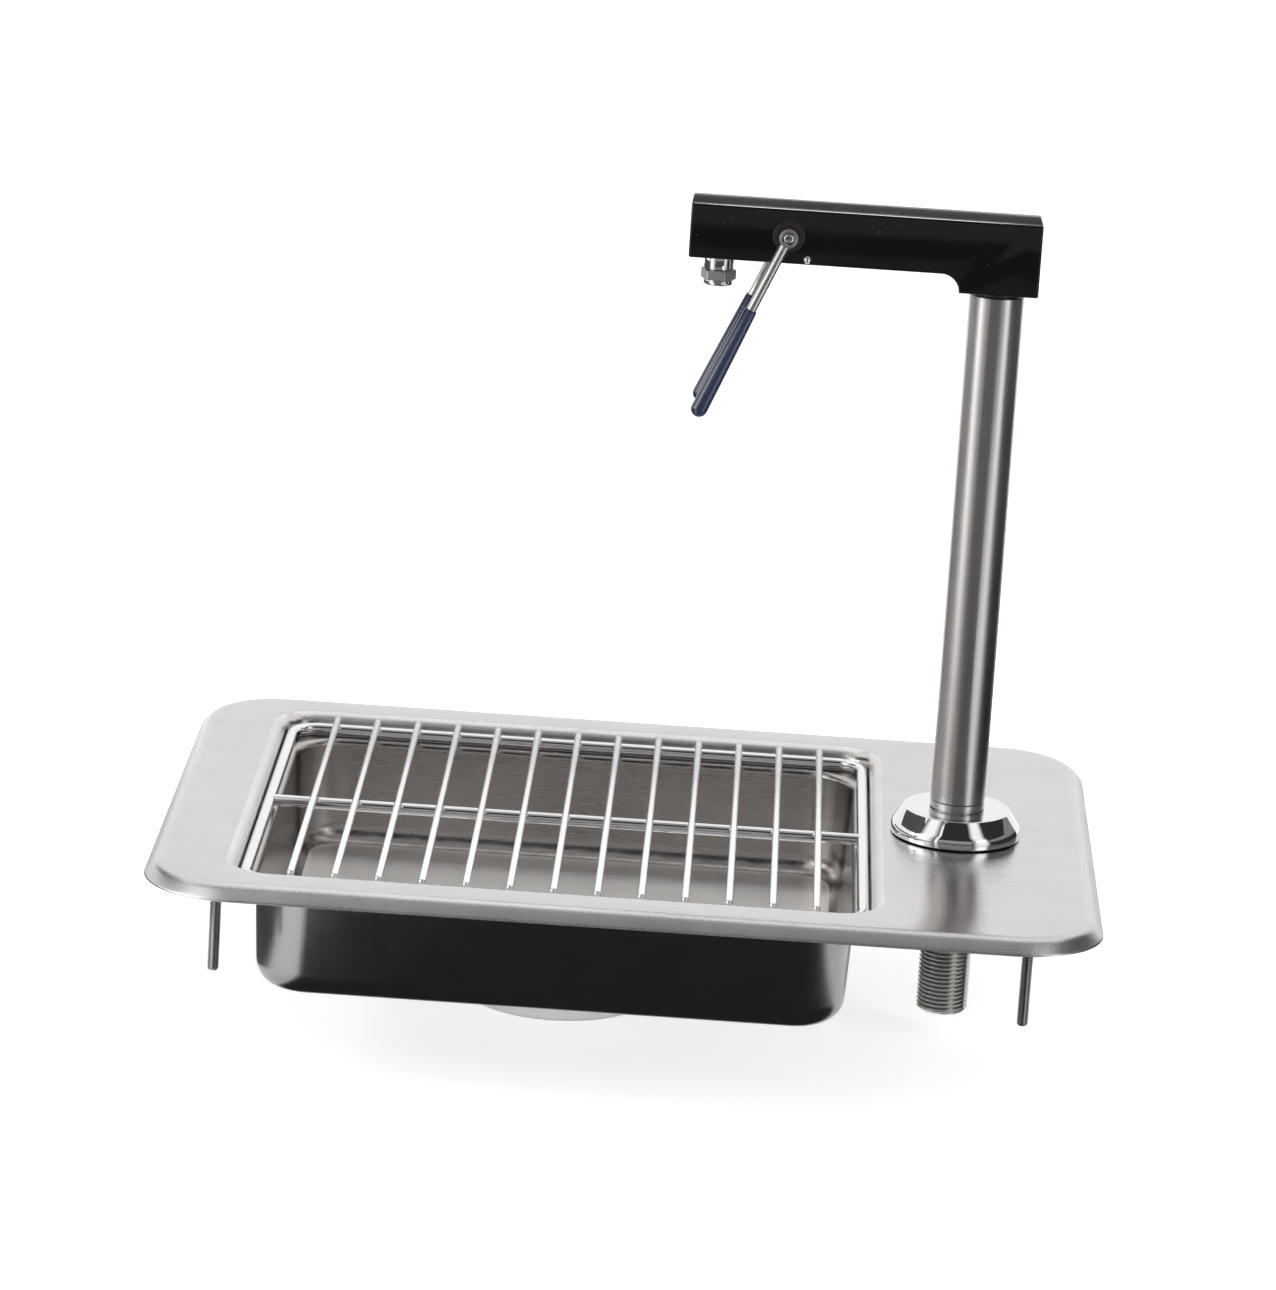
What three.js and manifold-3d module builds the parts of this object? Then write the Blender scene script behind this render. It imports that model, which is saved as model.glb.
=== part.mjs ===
// Drop-in water station: a one-piece drawn steel pan with a chrome grid rack, a drain, four clamp
// studs, and a column-mounted glass filler with a two-pronged push lever.
// Millimetres, +Z up. The origin is the centre of the pan's outline on the plane that its lip rests on.
// +X is the long side, towards the column. -Y is the front, where the glass is brought in.
import * as THREE from "three";
import { mergeVertices } from "three/addons/utils/BufferGeometryUtils.js";
import Module from "manifold-3d";

const wasm = await Module();
wasm.setup();

// General clearances, and the overrun of every cut
const seatGap = 0.3;
const runningGap = 0.15;
const cutOverrun = 2;
const vertexMerge = 0.0001;

// Facet counts
const roundSides = 24;
const smallSides = 12;
const wireSides = 8;
const holeSides = 6;
const sealSides = 6;
const hexSides = 6;
const cornerSteps = 6;
const bendSteps = 3;
const coveSteps = 8;
const springSteps = 8;
const springSides = 5;
const tipSteps = 4;

// Pan: outline, lip and sheet
const panLength = 378;
const panDepth = 280;
const panCorner = 35;
const sheet = 1.2;
const lipHeight = 6;
const lipInset = 5;
const lipFoot = 1.2;
const lipBreak = 1.6;

// Pan: the flat deck's width round the recess that holds the rack, and the recess with its ledge
const deckLeft = 36.5;
const deckRight = 91.5;
const deckFront = 27;
const recessCorner = 14;
const rimRadius = 4;
const ledgeDrop = 8.4;
const ledgeWidth = 7;
const ledgeFillet = 2;
const shoulderRadius = 3;

// Pan: the bowl below the ledge, and the dish round the drain
const bowlDepth = 54;
const bowlCorner = 22;
const bowlDraft = 1.6;
const bowlBend = 9;
const bowlFall = 1;
const dishMargin = 5;
const dishStep = 2;

// Drain fitting
const drainBarrelRadius = 28;
const drainWall = 4.5;
const drainFlangeWidth = 9;
const drainFlange = 2.6;
const drainBodyDepth = 21.5;
const drainFloor = 3;
const outletStep = 9;
const outletWall = 3.5;
const outletLength = 6.3;
const drainGasket = 3;
const drainGasketWidth = 10.2;
const drainNutWall = 11.7;
const drainNutHeight = 18.2;
const drainNutRound = 3;
const drainNutGrooves = 12;
const drainNutGrooveRadius = 3.2;
const drainNutGrooveHeight = 11;
const strainerInset = 4;
const strainer = 1;
const strainerHoleRadius = 3.1;
const strainerPitch = 10;
const strainerRows = 2;

// Rack
const rackFrameRadius = 2.4;
const rackWireRadius = 1.5;
const rackWires = 13;
const rackEndSpace = 18.5;
const rackPlay = 0.6;
const rackTipPlay = 0.9;

// Clamp studs under the pan's corners
const studRadius = 2.4;
const studLength = 40.5;
const studInsetX = 29.5;
const studInsetY = 25;
const studChamfer = 0.7;
const studFootRadius = 4.2;
const studFoot = 1.2;

// Filler: place on the pan, shank, rose and column
const fillerInset = 57;
const fillerY = 0;
const gasketThickness = 1;
const gasketInset = 1.2;
const roseRadius = 26.8;
const roseTaper = 5;
const roseRim = 2.6;
const roseHeight = 9.7;
const roseWall = 2;
const roseEdge = 0.5;
const shankRadius = 10.65;
const shankWall = 5.55;
const shankBelow = 75.5;
const shankChamfer = 1.4;
const collarHeight = 3;
const columnRadius = 11.1;
const columnWall = 1.6;
const columnTop = 225.7;
const tubeSpigot = 16;
const nutWall = 5.35;
const nutHeight = 8;
const nutChamfer = 1.9;
const washerWidth = 8.35;
const washerThickness = 1.5;
const riserRadius = 4.75;
const riserWall = 1.15;
const riserEngage = 14;
const sealRadius = 1.1;

// Filler head: the neck that shows above the column, and the arm's end beyond the nozzle's axis
const neckShow = 1.5;
const heelDrop = 7.4;
const heelLeft = 15.7;
const armHeight = 22;
const armNose = 12.3;
const armBack = 16;
const armThickness = 24;
const armBreak = 0.9;
const neckInset = 0.7;
const neckThreadInset = 0.3;
const neckSocket = 8;
const waterwayRadius = 5.4;
const waterwayDrop = 4.2;
const chamberInset = 0.5;
const shoulderBehindLever = 18.6;
const passageRadius = 3.2;
const passageRise = 1.5;
const plugLength = 6.5;
const plugHexAcross = 5.5;
const plugHexDepth = 4;

// Valve
const seatLength = 4.5;
const seatBore = 2.9;
const seatLip = 0.6;
const stemRadius = 1.4;
const stemTail = 3.6;
const poppetPlay = 1;
const poppetThickness = 2;
const poppetWasher = 1.2;
const poppetWasherInset = 0.2;
const springInset = 1.1;
const springWire = 0.5;
const springLength = 15;
const springTurns = 6;
const cageThickness = 2;
const cagePortRadius = 1;
const cagePorts = 6;
const cagePortCircle = 3.4;

// Lever
const leverBehindNozzle = 27.1;
const leverTilt = 23.5;
const shaftRadius = 2.5;
const fingerReach = 4.3;
const fingerTip = 1.2;
const fingerWidth = 4;
const fingerNeck = 1.4;
const bushingRadius = 6.4;
const bushingLength = 5;
const bushingProud = 0.2;
const bushingBreak = 0.3;
const shaftSealRadius = 0.9;
const hubRadius = 3.75;
const hubLength = 4.3;
const hubRim = 0.85;
const cupPlay = 0.05;
const hubRecessDepth = 2.4;
const hubBreak = 0.35;
const hubScrewHeight = 1.8;
const hubScrewRadius = 1.35;
const hubScrewLength = 7;
const hubSocketAcross = 2.4;
const hubSocketDepth = 1.1;
const prongRadius = 2;
const prongLength = 78;
const prongRoot = 2.2;
const gripStart = 32.7;
const gripTopRadius = 2.55;
const gripTipRadius = 3.4;
const leverLength = 81.5;

// Stop pin beside the lever
const stopPinRadius = 1.75;
const stopPinShank = 1.35;
const stopPinProud = 3.4;
const stopPinDepth = 4;
const stopPinRight = 7.9;
const stopPinDown = 8.6;

// Nozzle
const nozzleReach = 111.7;
const nozzleRadius = 6.15;
const nozzleShoulder = 1.05;
const nozzleSpigotLength = 5.4;
const nozzleSealRadius = 0.7;
const nozzleWall = 1.8;
const nozzleTubeLength = 5.4;
const nozzleTailStep = 1.15;
const nozzleNutOver = 1.15;
const nozzleNutHeight = 3.8;
const nozzleNutChamfer = 0.6;
const nozzleNutTurn = -9;
const tipInset = 0.1;
const tipHeight = 2.4;
const tipRim = 0.6;
const tipRound = 1.4;
const tipLedge = 0.8;
const screenThickness = 0.9;
const screenHoleRadius = 0.7;
const screenHoleCircle = 2.4;
const screenHoles = 6;

// Levels and axes that several pieces share, first on the pan
const panTop = lipHeight;
const panUnder = panTop - sheet;
const recessHalfX = (panLength - deckLeft - deckRight) / 2;
const recessHalfY = panDepth / 2 - deckFront;
const recessShift = (deckLeft - deckRight) / 2;
const fillerX = panLength / 2 - fillerInset;
const ledgeLevel = panTop - ledgeDrop;
const bowlFloor = panTop - bowlDepth;
const dishFloor = bowlFloor - bowlFall - dishStep;
const dishUnder = dishFloor - sheet;
const drainHole = drainBarrelRadius + seatGap;
const drainBoreRadius = drainBarrelRadius - drainWall;
const drainFlangeRadius = drainBarrelRadius + drainFlangeWidth;
const drainGasketRadius = drainHole + drainGasketWidth;
const drainNutRadius = drainHole + drainNutWall;
const dishRadius = drainFlangeRadius + dishMargin;
const strainerRadius = drainFlangeRadius - strainerInset;
const outletRadius = drainBarrelRadius - outletStep;
const outletBoreRadius = outletRadius - outletWall;
const drainFlangeTop = dishFloor + seatGap + drainFlange;
const strainerBottom = drainFlangeTop - strainer;
const drainBottom = dishUnder - drainBodyDepth;
const drainNutTop = dishUnder - seatGap - drainGasket - seatGap;
const rackFrameLevel = ledgeLevel + seatGap + rackFrameRadius;
const rackWireLevel = rackFrameLevel + rackFrameRadius + seatGap + rackWireRadius;
const rackHalfX = recessHalfX - rackPlay - rackFrameRadius;
const rackHalfY = recessHalfY - rackPlay - rackFrameRadius;
const rackCorner = recessCorner - rackPlay - rackFrameRadius;
const rackWireLength = 2 * (recessHalfY - rackTipPlay);
const rackPitch = (2 * (rackHalfX - rackEndSpace)) / (rackWires - 1);

// On the column, from the top of the pan
const gasketRadius = roseRadius - gasketInset;
const roseTopRadius = roseRadius - roseTaper;
const shankBore = shankRadius - shankWall;
const nutAcross = 2 * (shankRadius + nutWall);
const washerRadius = shankRadius + washerWidth;
const riserBore = riserRadius - riserWall;
const roseBottom = seatGap + gasketThickness + seatGap;
const roseTop = roseBottom + roseHeight;
const collarBottom = roseTop + seatGap;
const collarTop = collarBottom + collarHeight;
const columnInner = columnRadius - columnWall;
const spigotRadius = columnInner - seatGap;
const neckRadius = spigotRadius - neckInset;
const neckThread = neckRadius - neckThreadInset;
const neckBottom = columnTop - tubeSpigot;
const riserBottom = collarTop + tubeSpigot - riserEngage;
const riserTop = neckBottom + riserEngage;
const riserSealRadius = riserRadius + seatGap + sealRadius;

// In the head
const armReach = nozzleReach + armNose;
const leverReach = nozzleReach - leverBehindNozzle;
const chamberShoulder = leverReach - shoulderBehindLever;
const chamberRadius = waterwayRadius - chamberInset;
const plugRadius = waterwayRadius - seatGap;
const heelBottom = columnTop + neckShow;
const armBottom = heelBottom + heelDrop;
const armTop = armBottom + armHeight;
const armHalf = armThickness / 2;
const shaftLevel = armBottom + armHeight / 2;
const waterwayLevel = shaftLevel - waterwayDrop;
const passageLevel = shaftLevel + passageRise;
const stopPinX = stopPinRight - leverReach;
const stopPinZ = shaftLevel - stopPinDown;
const pinHoleDepth = stopPinDepth + seatGap;
const nozzleSocketTop = armBottom + nozzleSpigotLength + seatGap + 2 * nozzleSealRadius + seatGap;

// Along the valve, from the column's axis
const degrees = Math.PI / 180;
const upright = 90;
const seatStart = seatGap - chamberShoulder;
const seatEnd = seatStart + seatLength;
const poppetRadius = waterwayRadius - poppetPlay;
const poppetWasherRadius = poppetRadius - poppetWasherInset;
const springRadius = poppetRadius - springInset;
const washerStart = seatEnd + seatGap;
const washerEnd = washerStart + poppetWasher;
const poppetStart = washerEnd + seatGap;
const poppetEnd = poppetStart + poppetThickness;
const springStart = poppetEnd + seatGap;
const cageStart = springStart + springLength + seatGap;
const cageEnd = cageStart + cageThickness;
const fingerFace = fingerTip - leverReach - fingerReach * Math.sin(leverTilt * degrees);
const stemStart = fingerFace + seatGap;

// Across the lever, from the middle of the arm
const hubInner = armHalf + bushingProud + seatGap;
const hubOuter = hubInner + hubLength;
const prongCentre = (hubInner + hubOuter) / 2;
const hubRecessRadius = hubRadius - hubRim;
const hubScrewHead = hubRecessRadius - seatGap - cupPlay;
const screwSeat = hubOuter - hubRecessDepth + seatGap;
const screwTop = screwSeat + hubScrewHeight;
const screwEnd = screwSeat - hubScrewLength;

// Down the nozzle
const nozzleSpigot = nozzleRadius - nozzleShoulder;
const nozzleBore = nozzleSpigot - nozzleWall;
const nozzleTailRadius = nozzleRadius - nozzleTailStep;
const nozzleNutAcross = 2 * (nozzleRadius + nozzleNutOver);
const tipRadius = nozzleRadius - tipInset;
const tipBore = nozzleTailRadius - tipRim;
const nozzleTubeEnd = armBottom - seatGap - nozzleTubeLength;
const nozzleTipEnd = nozzleTubeEnd - seatGap - nozzleNutHeight - seatGap - tipHeight;
const nozzleTailEnd = nozzleTipEnd + tipLedge + seatGap + screenThickness + seatGap;

// The rounded end of a wire, as shares of its radius: how far out and how far from the tip
const wireTipShares = [
  { out: 0.6, along: 0.2 },
  { out: 1, along: 1 },
];

// Finishes

const black = { color: 0x0b0b0c, roughness: 0.16, metalness: 0 };
const satin = { color: 0xcfccc8, roughness: 0.38, metalness: 1 };
const columnSteel = { color: 0xb9b5af, roughness: 0.32, metalness: 1 };
const chrome = { color: 0xe4e5e7, roughness: 0.08, metalness: 1 };
const brass = { color: 0xb9924a, roughness: 0.35, metalness: 1 };
const rubber = { color: 0x1c1c1c, roughness: 0.8, metalness: 0 };
const brown = { color: 0x2a211d, roughness: 0.45, metalness: 0 };
const plastic = { color: 0xcdcdce, roughness: 0.5, metalness: 0 };
const navy = { color: 0x2e3348, roughness: 0.35, metalness: 0 };

// Solids and booleans

function solidOf(geometry) {
  const plain = geometry.clone();
  plain.deleteAttribute("normal");
  plain.deleteAttribute("uv");
  const merged = mergeVertices(plain, vertexMerge);
  return new wasm.Manifold(
    new wasm.Mesh({
      numProp: 3,
      vertProperties: new Float32Array(merged.attributes.position.array),
      triVerts: new Uint32Array(merged.index.array),
    }),
  );
}

function geometryOf(solid) {
  const mesh = solid.getMesh();
  const geometry = new THREE.BufferGeometry();
  geometry.setAttribute("position", new THREE.BufferAttribute(new Float32Array(mesh.vertProperties), 3));
  geometry.setIndex(new THREE.BufferAttribute(new Uint32Array(mesh.triVerts), 1));
  geometry.computeVertexNormals();
  return geometry;
}

function cut(blank, ...tools) {
  let solid = solidOf(blank);
  for (const tool of tools) solid = solid.subtract(solidOf(tool));
  return geometryOf(solid);
}

function join(first, ...others) {
  let solid = solidOf(first);
  for (const other of others) solid = solid.add(solidOf(other));
  return geometryOf(solid);
}

// Basic shapes, made along +Z

// A solid or a ring turned about +Z. The outline's [radius, height] points run anticlockwise with the
// radius to the right, and either start and end on the axis or close on themselves.
function turned(outline, sides = roundSides) {
  const points = outline.map(([radius, height]) => new THREE.Vector2(radius, height));
  const onAxis = points[0].x === 0 && points.at(-1).x === 0;
  if (!onAxis) points.push(points[0].clone());
  return new THREE.LatheGeometry(points, sides).rotateX(Math.PI / 2);
}

function pipe(outer, inner, low, high, sides = roundSides) {
  return turned([[inner, low], [outer, low], [outer, high], [inner, high]], sides);
}

function rod(radius, low, high, sides = roundSides) {
  return turned([[0, low], [radius, low], [radius, high], [0, high]], sides);
}

// A ring of round section, such as an O-ring.
function ringSeal(centreRadius, section, level) {
  const outline = [];
  for (let i = 0; i < sealSides; i++) {
    const angle = (i / sealSides) * 2 * Math.PI;
    outline.push([centreRadius + section * Math.cos(angle), level + section * Math.sin(angle)]);
  }
  return turned(outline, smallSides);
}

// A hexagonal prism from z = 0 up. Across is measured over the corners.
function hexagon(across, height, turn = 0) {
  const shape = new THREE.Shape();
  for (let i = 0; i < hexSides; i++) {
    const angle = turn + (i / hexSides) * 2 * Math.PI;
    shape.lineTo((across / 2) * Math.cos(angle), (across / 2) * Math.sin(angle));
  }
  shape.curves.shift();
  shape.closePath();
  return new THREE.ExtrudeGeometry(shape, { depth: height, bevelEnabled: false });
}

// A hexagonal nut from z = 0 up, with its corners turned down at both faces.
function hexNut(across, bore, height, chamfer, turn = 0) {
  const envelope = turned([
    [0, 0],
    [across / 2 - chamfer, 0],
    [across / 2, chamfer / 2],
    [across / 2, height - chamfer / 2],
    [across / 2 - chamfer, height],
    [0, height],
  ]);
  const blank = solidOf(hexagon(across, height, turn)).intersect(solidOf(envelope));
  return geometryOf(blank.subtract(solidOf(rod(bore, -cutOverrun, height + cutOverrun))));
}

// Holes of one size, evenly spaced on a circle about +Z.
function holeCircle(count, circle, radius, low, high) {
  const holes = [];
  for (let i = 0; i < count; i++) {
    const angle = (i / count) * 2 * Math.PI;
    const hole = rod(radius, low - cutOverrun, high + cutOverrun, holeSides);
    holes.push(hole.translate(circle * Math.cos(angle), circle * Math.sin(angle), 0));
  }
  return holes;
}

// Turns a shape made along +Z to run along +X.
function alongX(geometry) {
  return geometry.rotateY(Math.PI / 2);
}

// Turns a shape made along +Z to run along +Y for side 1, or along -Y for side -1.
function alongY(geometry, side = 1) {
  return geometry.rotateX((-side * Math.PI) / 2);
}

// A closed skin over rings with equal numbers of points. The rings follow each other anticlockwise in
// section, with outwards to the right, and the last joins the first.
function ringSkin(rings) {
  const count = rings[0].length;
  const positions = rings.flat().flatMap((point) => [point.x, point.y, point.z]);
  const indices = [];
  for (let i = 0; i < rings.length; i++) {
    const here = i * count;
    const next = ((i + 1) % rings.length) * count;
    for (let j = 0; j < count; j++) {
      const k = (j + 1) % count;
      indices.push(here + j, next + k, next + j);
      indices.push(here + j, here + k, next + k);
    }
  }
  const geometry = new THREE.BufferGeometry();
  geometry.setAttribute("position", new THREE.Float32BufferAttribute(positions, 3));
  geometry.setIndex(indices);
  return geometry;
}

// The points of a rectangle with round corners, anticlockwise from above.
function roundedRing(centreX, halfX, halfY, corner, level) {
  const points = [];
  for (let quarter = 0; quarter < 4; quarter++) {
    const signX = quarter === 0 || quarter === 3 ? 1 : -1;
    const signY = quarter < 2 ? 1 : -1;
    for (let step = 0; step <= cornerSteps; step++) {
      const angle = (quarter + step / cornerSteps) * (Math.PI / 2);
      const x = centreX + signX * (halfX - corner) + corner * Math.cos(angle);
      const y = signY * (halfY - corner) + corner * Math.sin(angle);
      points.push(new THREE.Vector3(x, y, level));
    }
  }
  return points;
}

// Pan: one sheet, drawn down in two steps. Its section is a row of stations. Each is a ring at a
// distance outside one of these outlines, with the tilt of the sheet's upper side there.

const outlines = {
  pan: { x: 0, halfX: panLength / 2, halfY: panDepth / 2, corner: panCorner },
  recess: { x: recessShift, halfX: recessHalfX, halfY: recessHalfY, corner: recessCorner },
  bowl: {
    x: recessShift,
    halfX: recessHalfX - ledgeWidth,
    halfY: recessHalfY - ledgeWidth,
    corner: bowlCorner,
  },
  dish: { x: recessShift, halfX: dishRadius, halfY: dishRadius, corner: dishRadius },
  drain: { x: recessShift, halfX: drainHole, halfY: drainHole, corner: drainHole },
};

// A bend of the sheet between two tilts. Tilt is the angle in degrees from straight up, outwards, of the
// upper side. Side 1 bends about a centre below the sheet, and side -1 about one above it.
function bend(outline, centreOut, centreZ, radius, tiltFrom, tiltTo, side) {
  const stations = [];
  for (let step = 0; step <= bendSteps; step++) {
    const tilt = tiltFrom + ((tiltTo - tiltFrom) * step) / bendSteps;
    const out = centreOut + side * radius * Math.sin(tilt * degrees);
    const z = centreZ + side * radius * Math.cos(tilt * degrees);
    stations.push({ outline, out, z, tilt });
  }
  return stations;
}

function panStations() {
  const bevelTilt = Math.atan2(lipHeight - lipFoot, lipInset) / degrees;
  return [
    { outline: "pan", out: 0, z: 0, tilt: upright },
    { outline: "pan", out: 0, z: lipFoot, tilt: (upright + bevelTilt) / 2 },
    ...bend("pan", -lipInset - lipBreak / 2, panTop - lipBreak, lipBreak, bevelTilt, 0, 1),
    ...bend("recess", rimRadius, panTop - rimRadius, rimRadius, 0, -upright, 1),
    ...bend("recess", -ledgeFillet, ledgeLevel + ledgeFillet, ledgeFillet, -upright, 0, -1),
    ...bend("bowl", shoulderRadius, ledgeLevel - shoulderRadius, shoulderRadius, 0, -upright, 1),
    ...bend("bowl", -bowlDraft - bowlBend, bowlFloor + bowlBend, bowlBend, -upright, 0, -1),
    { outline: "dish", out: dishStep, z: bowlFloor - bowlFall, tilt: 0 },
    { outline: "dish", out: 0, z: dishFloor, tilt: 0 },
    { outline: "drain", out: 0, z: dishFloor, tilt: 0 },
  ];
}

function stationRing({ outline, out, z }) {
  const { x, halfX, halfY, corner } = outlines[outline];
  return roundedRing(x, halfX + out, halfY + out, corner + out, z);
}

function underStation({ outline, out, z, tilt }) {
  const under = { out: out - sheet * Math.sin(tilt * degrees), z: z - sheet * Math.cos(tilt * degrees) };
  return { outline, ...under };
}

function panGeometry() {
  const stations = panStations();
  const top = stations.map(stationRing);
  const under = stations.map(underStation).map(stationRing).reverse();
  const shankHole = rod(shankRadius + seatGap, panUnder - cutOverrun, panTop + cutOverrun);
  return cut(ringSkin([...top, ...under]), shankHole.translate(fillerX, fillerY, 0));
}

// A stud welded to the underside of the pan: a foot and a straight thread with a chamfered end.
function studGeometry() {
  const top = panUnder - seatGap;
  const foot = top - studFoot;
  const end = top - studLength;
  return turned(
    [
      [0, end],
      [studRadius - studChamfer, end],
      [studRadius, end + studChamfer],
      [studRadius, foot],
      [studFootRadius, foot],
      [studFootRadius, top],
      [0, top],
    ],
    smallSides,
  );
}

// Drain, about the dish's centre

function drainBodyGeometry() {
  return turned([
    [outletBoreRadius, drainBottom - outletLength],
    [outletRadius, drainBottom - outletLength],
    [outletRadius, drainBottom],
    [drainBarrelRadius, drainBottom],
    [drainBarrelRadius, dishFloor + seatGap],
    [drainFlangeRadius, dishFloor + seatGap],
    [drainFlangeRadius, drainFlangeTop],
    [strainerRadius + seatGap, drainFlangeTop],
    [strainerRadius + seatGap, strainerBottom - seatGap],
    [drainBoreRadius, strainerBottom - seatGap],
    [drainBoreRadius, drainBottom + drainFloor],
    [outletBoreRadius, drainBottom + drainFloor / 2],
  ]);
}

function strainerGeometry() {
  const holes = [];
  for (let row = -strainerRows; row <= strainerRows; row++) {
    for (let column = -strainerRows; column <= strainerRows; column++) {
      if (Math.abs(row + column) > strainerRows) continue;
      const x = (column + row / 2) * strainerPitch;
      const y = row * strainerPitch * Math.sin(Math.PI / 3);
      const low = strainerBottom - cutOverrun;
      holes.push(rod(strainerHoleRadius, low, drainFlangeTop + cutOverrun, holeSides).translate(x, y, 0));
    }
  }
  return cut(rod(strainerRadius, strainerBottom, drainFlangeTop), ...holes);
}

function drainNutGeometry() {
  const bottom = drainNutTop - drainNutHeight;
  const ring = turned([
    [drainHole, bottom],
    [drainNutRadius - drainNutRound, bottom],
    [drainNutRadius, bottom + drainNutRound],
    [drainNutRadius, drainNutTop],
    [drainHole, drainNutTop],
  ]);
  const grooves = [];
  for (let i = 0; i < drainNutGrooves; i++) {
    const angle = (i / drainNutGrooves) * 2 * Math.PI;
    const low = drainNutTop - drainNutGrooveHeight;
    const groove = rod(drainNutGrooveRadius, low, drainNutTop + cutOverrun, holeSides);
    grooves.push(groove.translate(drainNutRadius * Math.cos(angle), drainNutRadius * Math.sin(angle), 0));
  }
  return cut(ring, ...grooves);
}

// Rack, about the recess's centre

function rackFrameGeometry() {
  const rings = [];
  for (let side = 0; side < wireSides; side++) {
    const angle = (side / wireSides) * 2 * Math.PI;
    const out = rackFrameRadius * Math.cos(angle);
    const level = rackFrameLevel + rackFrameRadius * Math.sin(angle);
    rings.push(roundedRing(0, rackHalfX + out, rackHalfY + out, rackCorner + out, level));
  }
  return ringSkin(rings);
}

// A straight wire with rounded tips, about the origin.
function wireGeometry(radius, length) {
  const half = length / 2;
  const lower = wireTipShares.map(({ out, along }) => [radius * out, -half + radius * along]);
  const upper = wireTipShares.map(({ out, along }) => [radius * out, half - radius * along]).reverse();
  return turned([[0, -half], ...lower, ...upper, [0, half]], wireSides);
}

// Filler column: from here to the nozzle z = 0 is the top of the pan, on the column's axis.

function roseGeometry() {
  const slope = (roseRadius - roseTopRadius) / (roseHeight - roseRim);
  return turned([
    [roseRadius - roseWall, roseBottom],
    [roseRadius, roseBottom],
    [roseRadius, roseBottom + roseRim],
    [roseTopRadius + roseEdge * slope, roseTop - roseEdge],
    [roseTopRadius - roseEdge, roseTop],
    [shankRadius + seatGap, roseTop],
    [shankRadius + seatGap, roseTop - roseWall],
    [roseTopRadius - roseWall, roseTop - roseWall],
    [roseRadius - roseWall, roseBottom + roseRim],
  ]);
}

function shankGeometry() {
  return turned([
    [shankBore, -shankBelow],
    [shankRadius - shankChamfer, -shankBelow],
    [shankRadius, shankChamfer - shankBelow],
    [shankRadius, collarBottom],
    [columnRadius, collarBottom],
    [columnRadius, collarTop],
    [spigotRadius, collarTop],
    [spigotRadius, collarTop + tubeSpigot],
    [shankBore, collarTop + tubeSpigot],
  ]);
}

function neckGeometry() {
  return turned([
    [riserRadius + seatGap, neckBottom],
    [spigotRadius, neckBottom],
    [spigotRadius, columnTop - seatGap],
    [neckRadius, columnTop - seatGap],
    [neckRadius, heelBottom - seatGap],
    [neckThread, heelBottom - seatGap],
    [neckThread, heelBottom + neckSocket - seatGap],
    [riserBore, heelBottom + neckSocket - seatGap],
    [riserBore, riserTop + seatGap],
    [riserRadius + seatGap, riserTop + seatGap],
  ]);
}

// Head: the arm's side outline, drawn inside by its edge break, which the bevel then adds.

function headOutline() {
  const shape = new THREE.Shape();
  const left = armBreak - armReach;
  const right = armBack - armBreak;
  const coveRadius = heelDrop + armBreak;
  const coveEnd = Math.asin(armBreak / coveRadius);
  shape.moveTo(left, armTop - armBreak);
  shape.lineTo(left, armBottom + armBreak);
  for (let step = 0; step <= coveSteps; step++) {
    const angle = Math.PI / 2 + ((coveEnd - Math.PI / 2) * step) / coveSteps;
    const x = coveRadius * Math.cos(angle) - heelLeft - heelDrop;
    shape.lineTo(x, heelBottom + coveRadius * Math.sin(angle));
  }
  shape.lineTo(right, heelBottom + armBreak);
  shape.lineTo(right, armTop - armBreak);
  shape.closePath();
  return shape;
}

function headBlank() {
  const geometry = new THREE.ExtrudeGeometry(headOutline(), {
    depth: armThickness - 2 * armBreak,
    bevelEnabled: true,
    bevelThickness: armBreak,
    bevelSize: armBreak,
    bevelSegments: 2,
  });
  return geometry.rotateX(Math.PI / 2).translate(0, armHalf - armBreak, 0);
}

// The waterway runs from the back of the arm to the valve's chamber. It lies below the cross shaft, so
// that the shaft's finger meets the stem square on. The passage beyond leads to the nozzle.
function headGeometry() {
  const waterway = alongX(rod(waterwayRadius, -chamberShoulder, armBack + cutOverrun));
  const chamber = alongX(rod(chamberRadius, -leverReach, -chamberShoulder + cutOverrun));
  const passage = alongX(rod(passageRadius, -nozzleReach, -leverReach, smallSides));
  const bushingHole = alongY(rod(bushingRadius + seatGap, -armHalf - cutOverrun, armHalf + cutOverrun));
  const neckHole = rod(neckThread + seatGap, heelBottom - cutOverrun, heelBottom + neckSocket);
  const riserHole = rod(riserBore, heelBottom, waterwayLevel, smallSides);
  const nozzleSocket = rod(nozzleSpigot + seatGap, armBottom - cutOverrun, nozzleSocketTop);
  const nozzleHole = rod(passageRadius, nozzleSocketTop - cutOverrun, passageLevel, smallSides);
  const pinHole = rod(stopPinShank + seatGap, armHalf - pinHoleDepth, armHalf + cutOverrun, holeSides);
  return cut(
    headBlank(),
    waterway.translate(0, 0, waterwayLevel),
    chamber.translate(0, 0, waterwayLevel),
    passage.translate(0, 0, passageLevel),
    bushingHole.translate(-leverReach, 0, shaftLevel),
    neckHole,
    riserHole,
    nozzleSocket.translate(-nozzleReach, 0, 0),
    nozzleHole.translate(-nozzleReach, 0, 0),
    alongY(pinHole, -1).translate(stopPinX, 0, stopPinZ),
  );
}

function plugGeometry() {
  const socket = hexagon(plugHexAcross, plugHexDepth + cutOverrun);
  return cut(rod(plugRadius, armBack - plugLength, armBack), socket.translate(0, 0, armBack - plugHexDepth));
}

// Valve: made along +Z for the arm's waterway, with z as the reach from the column's axis.

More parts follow.
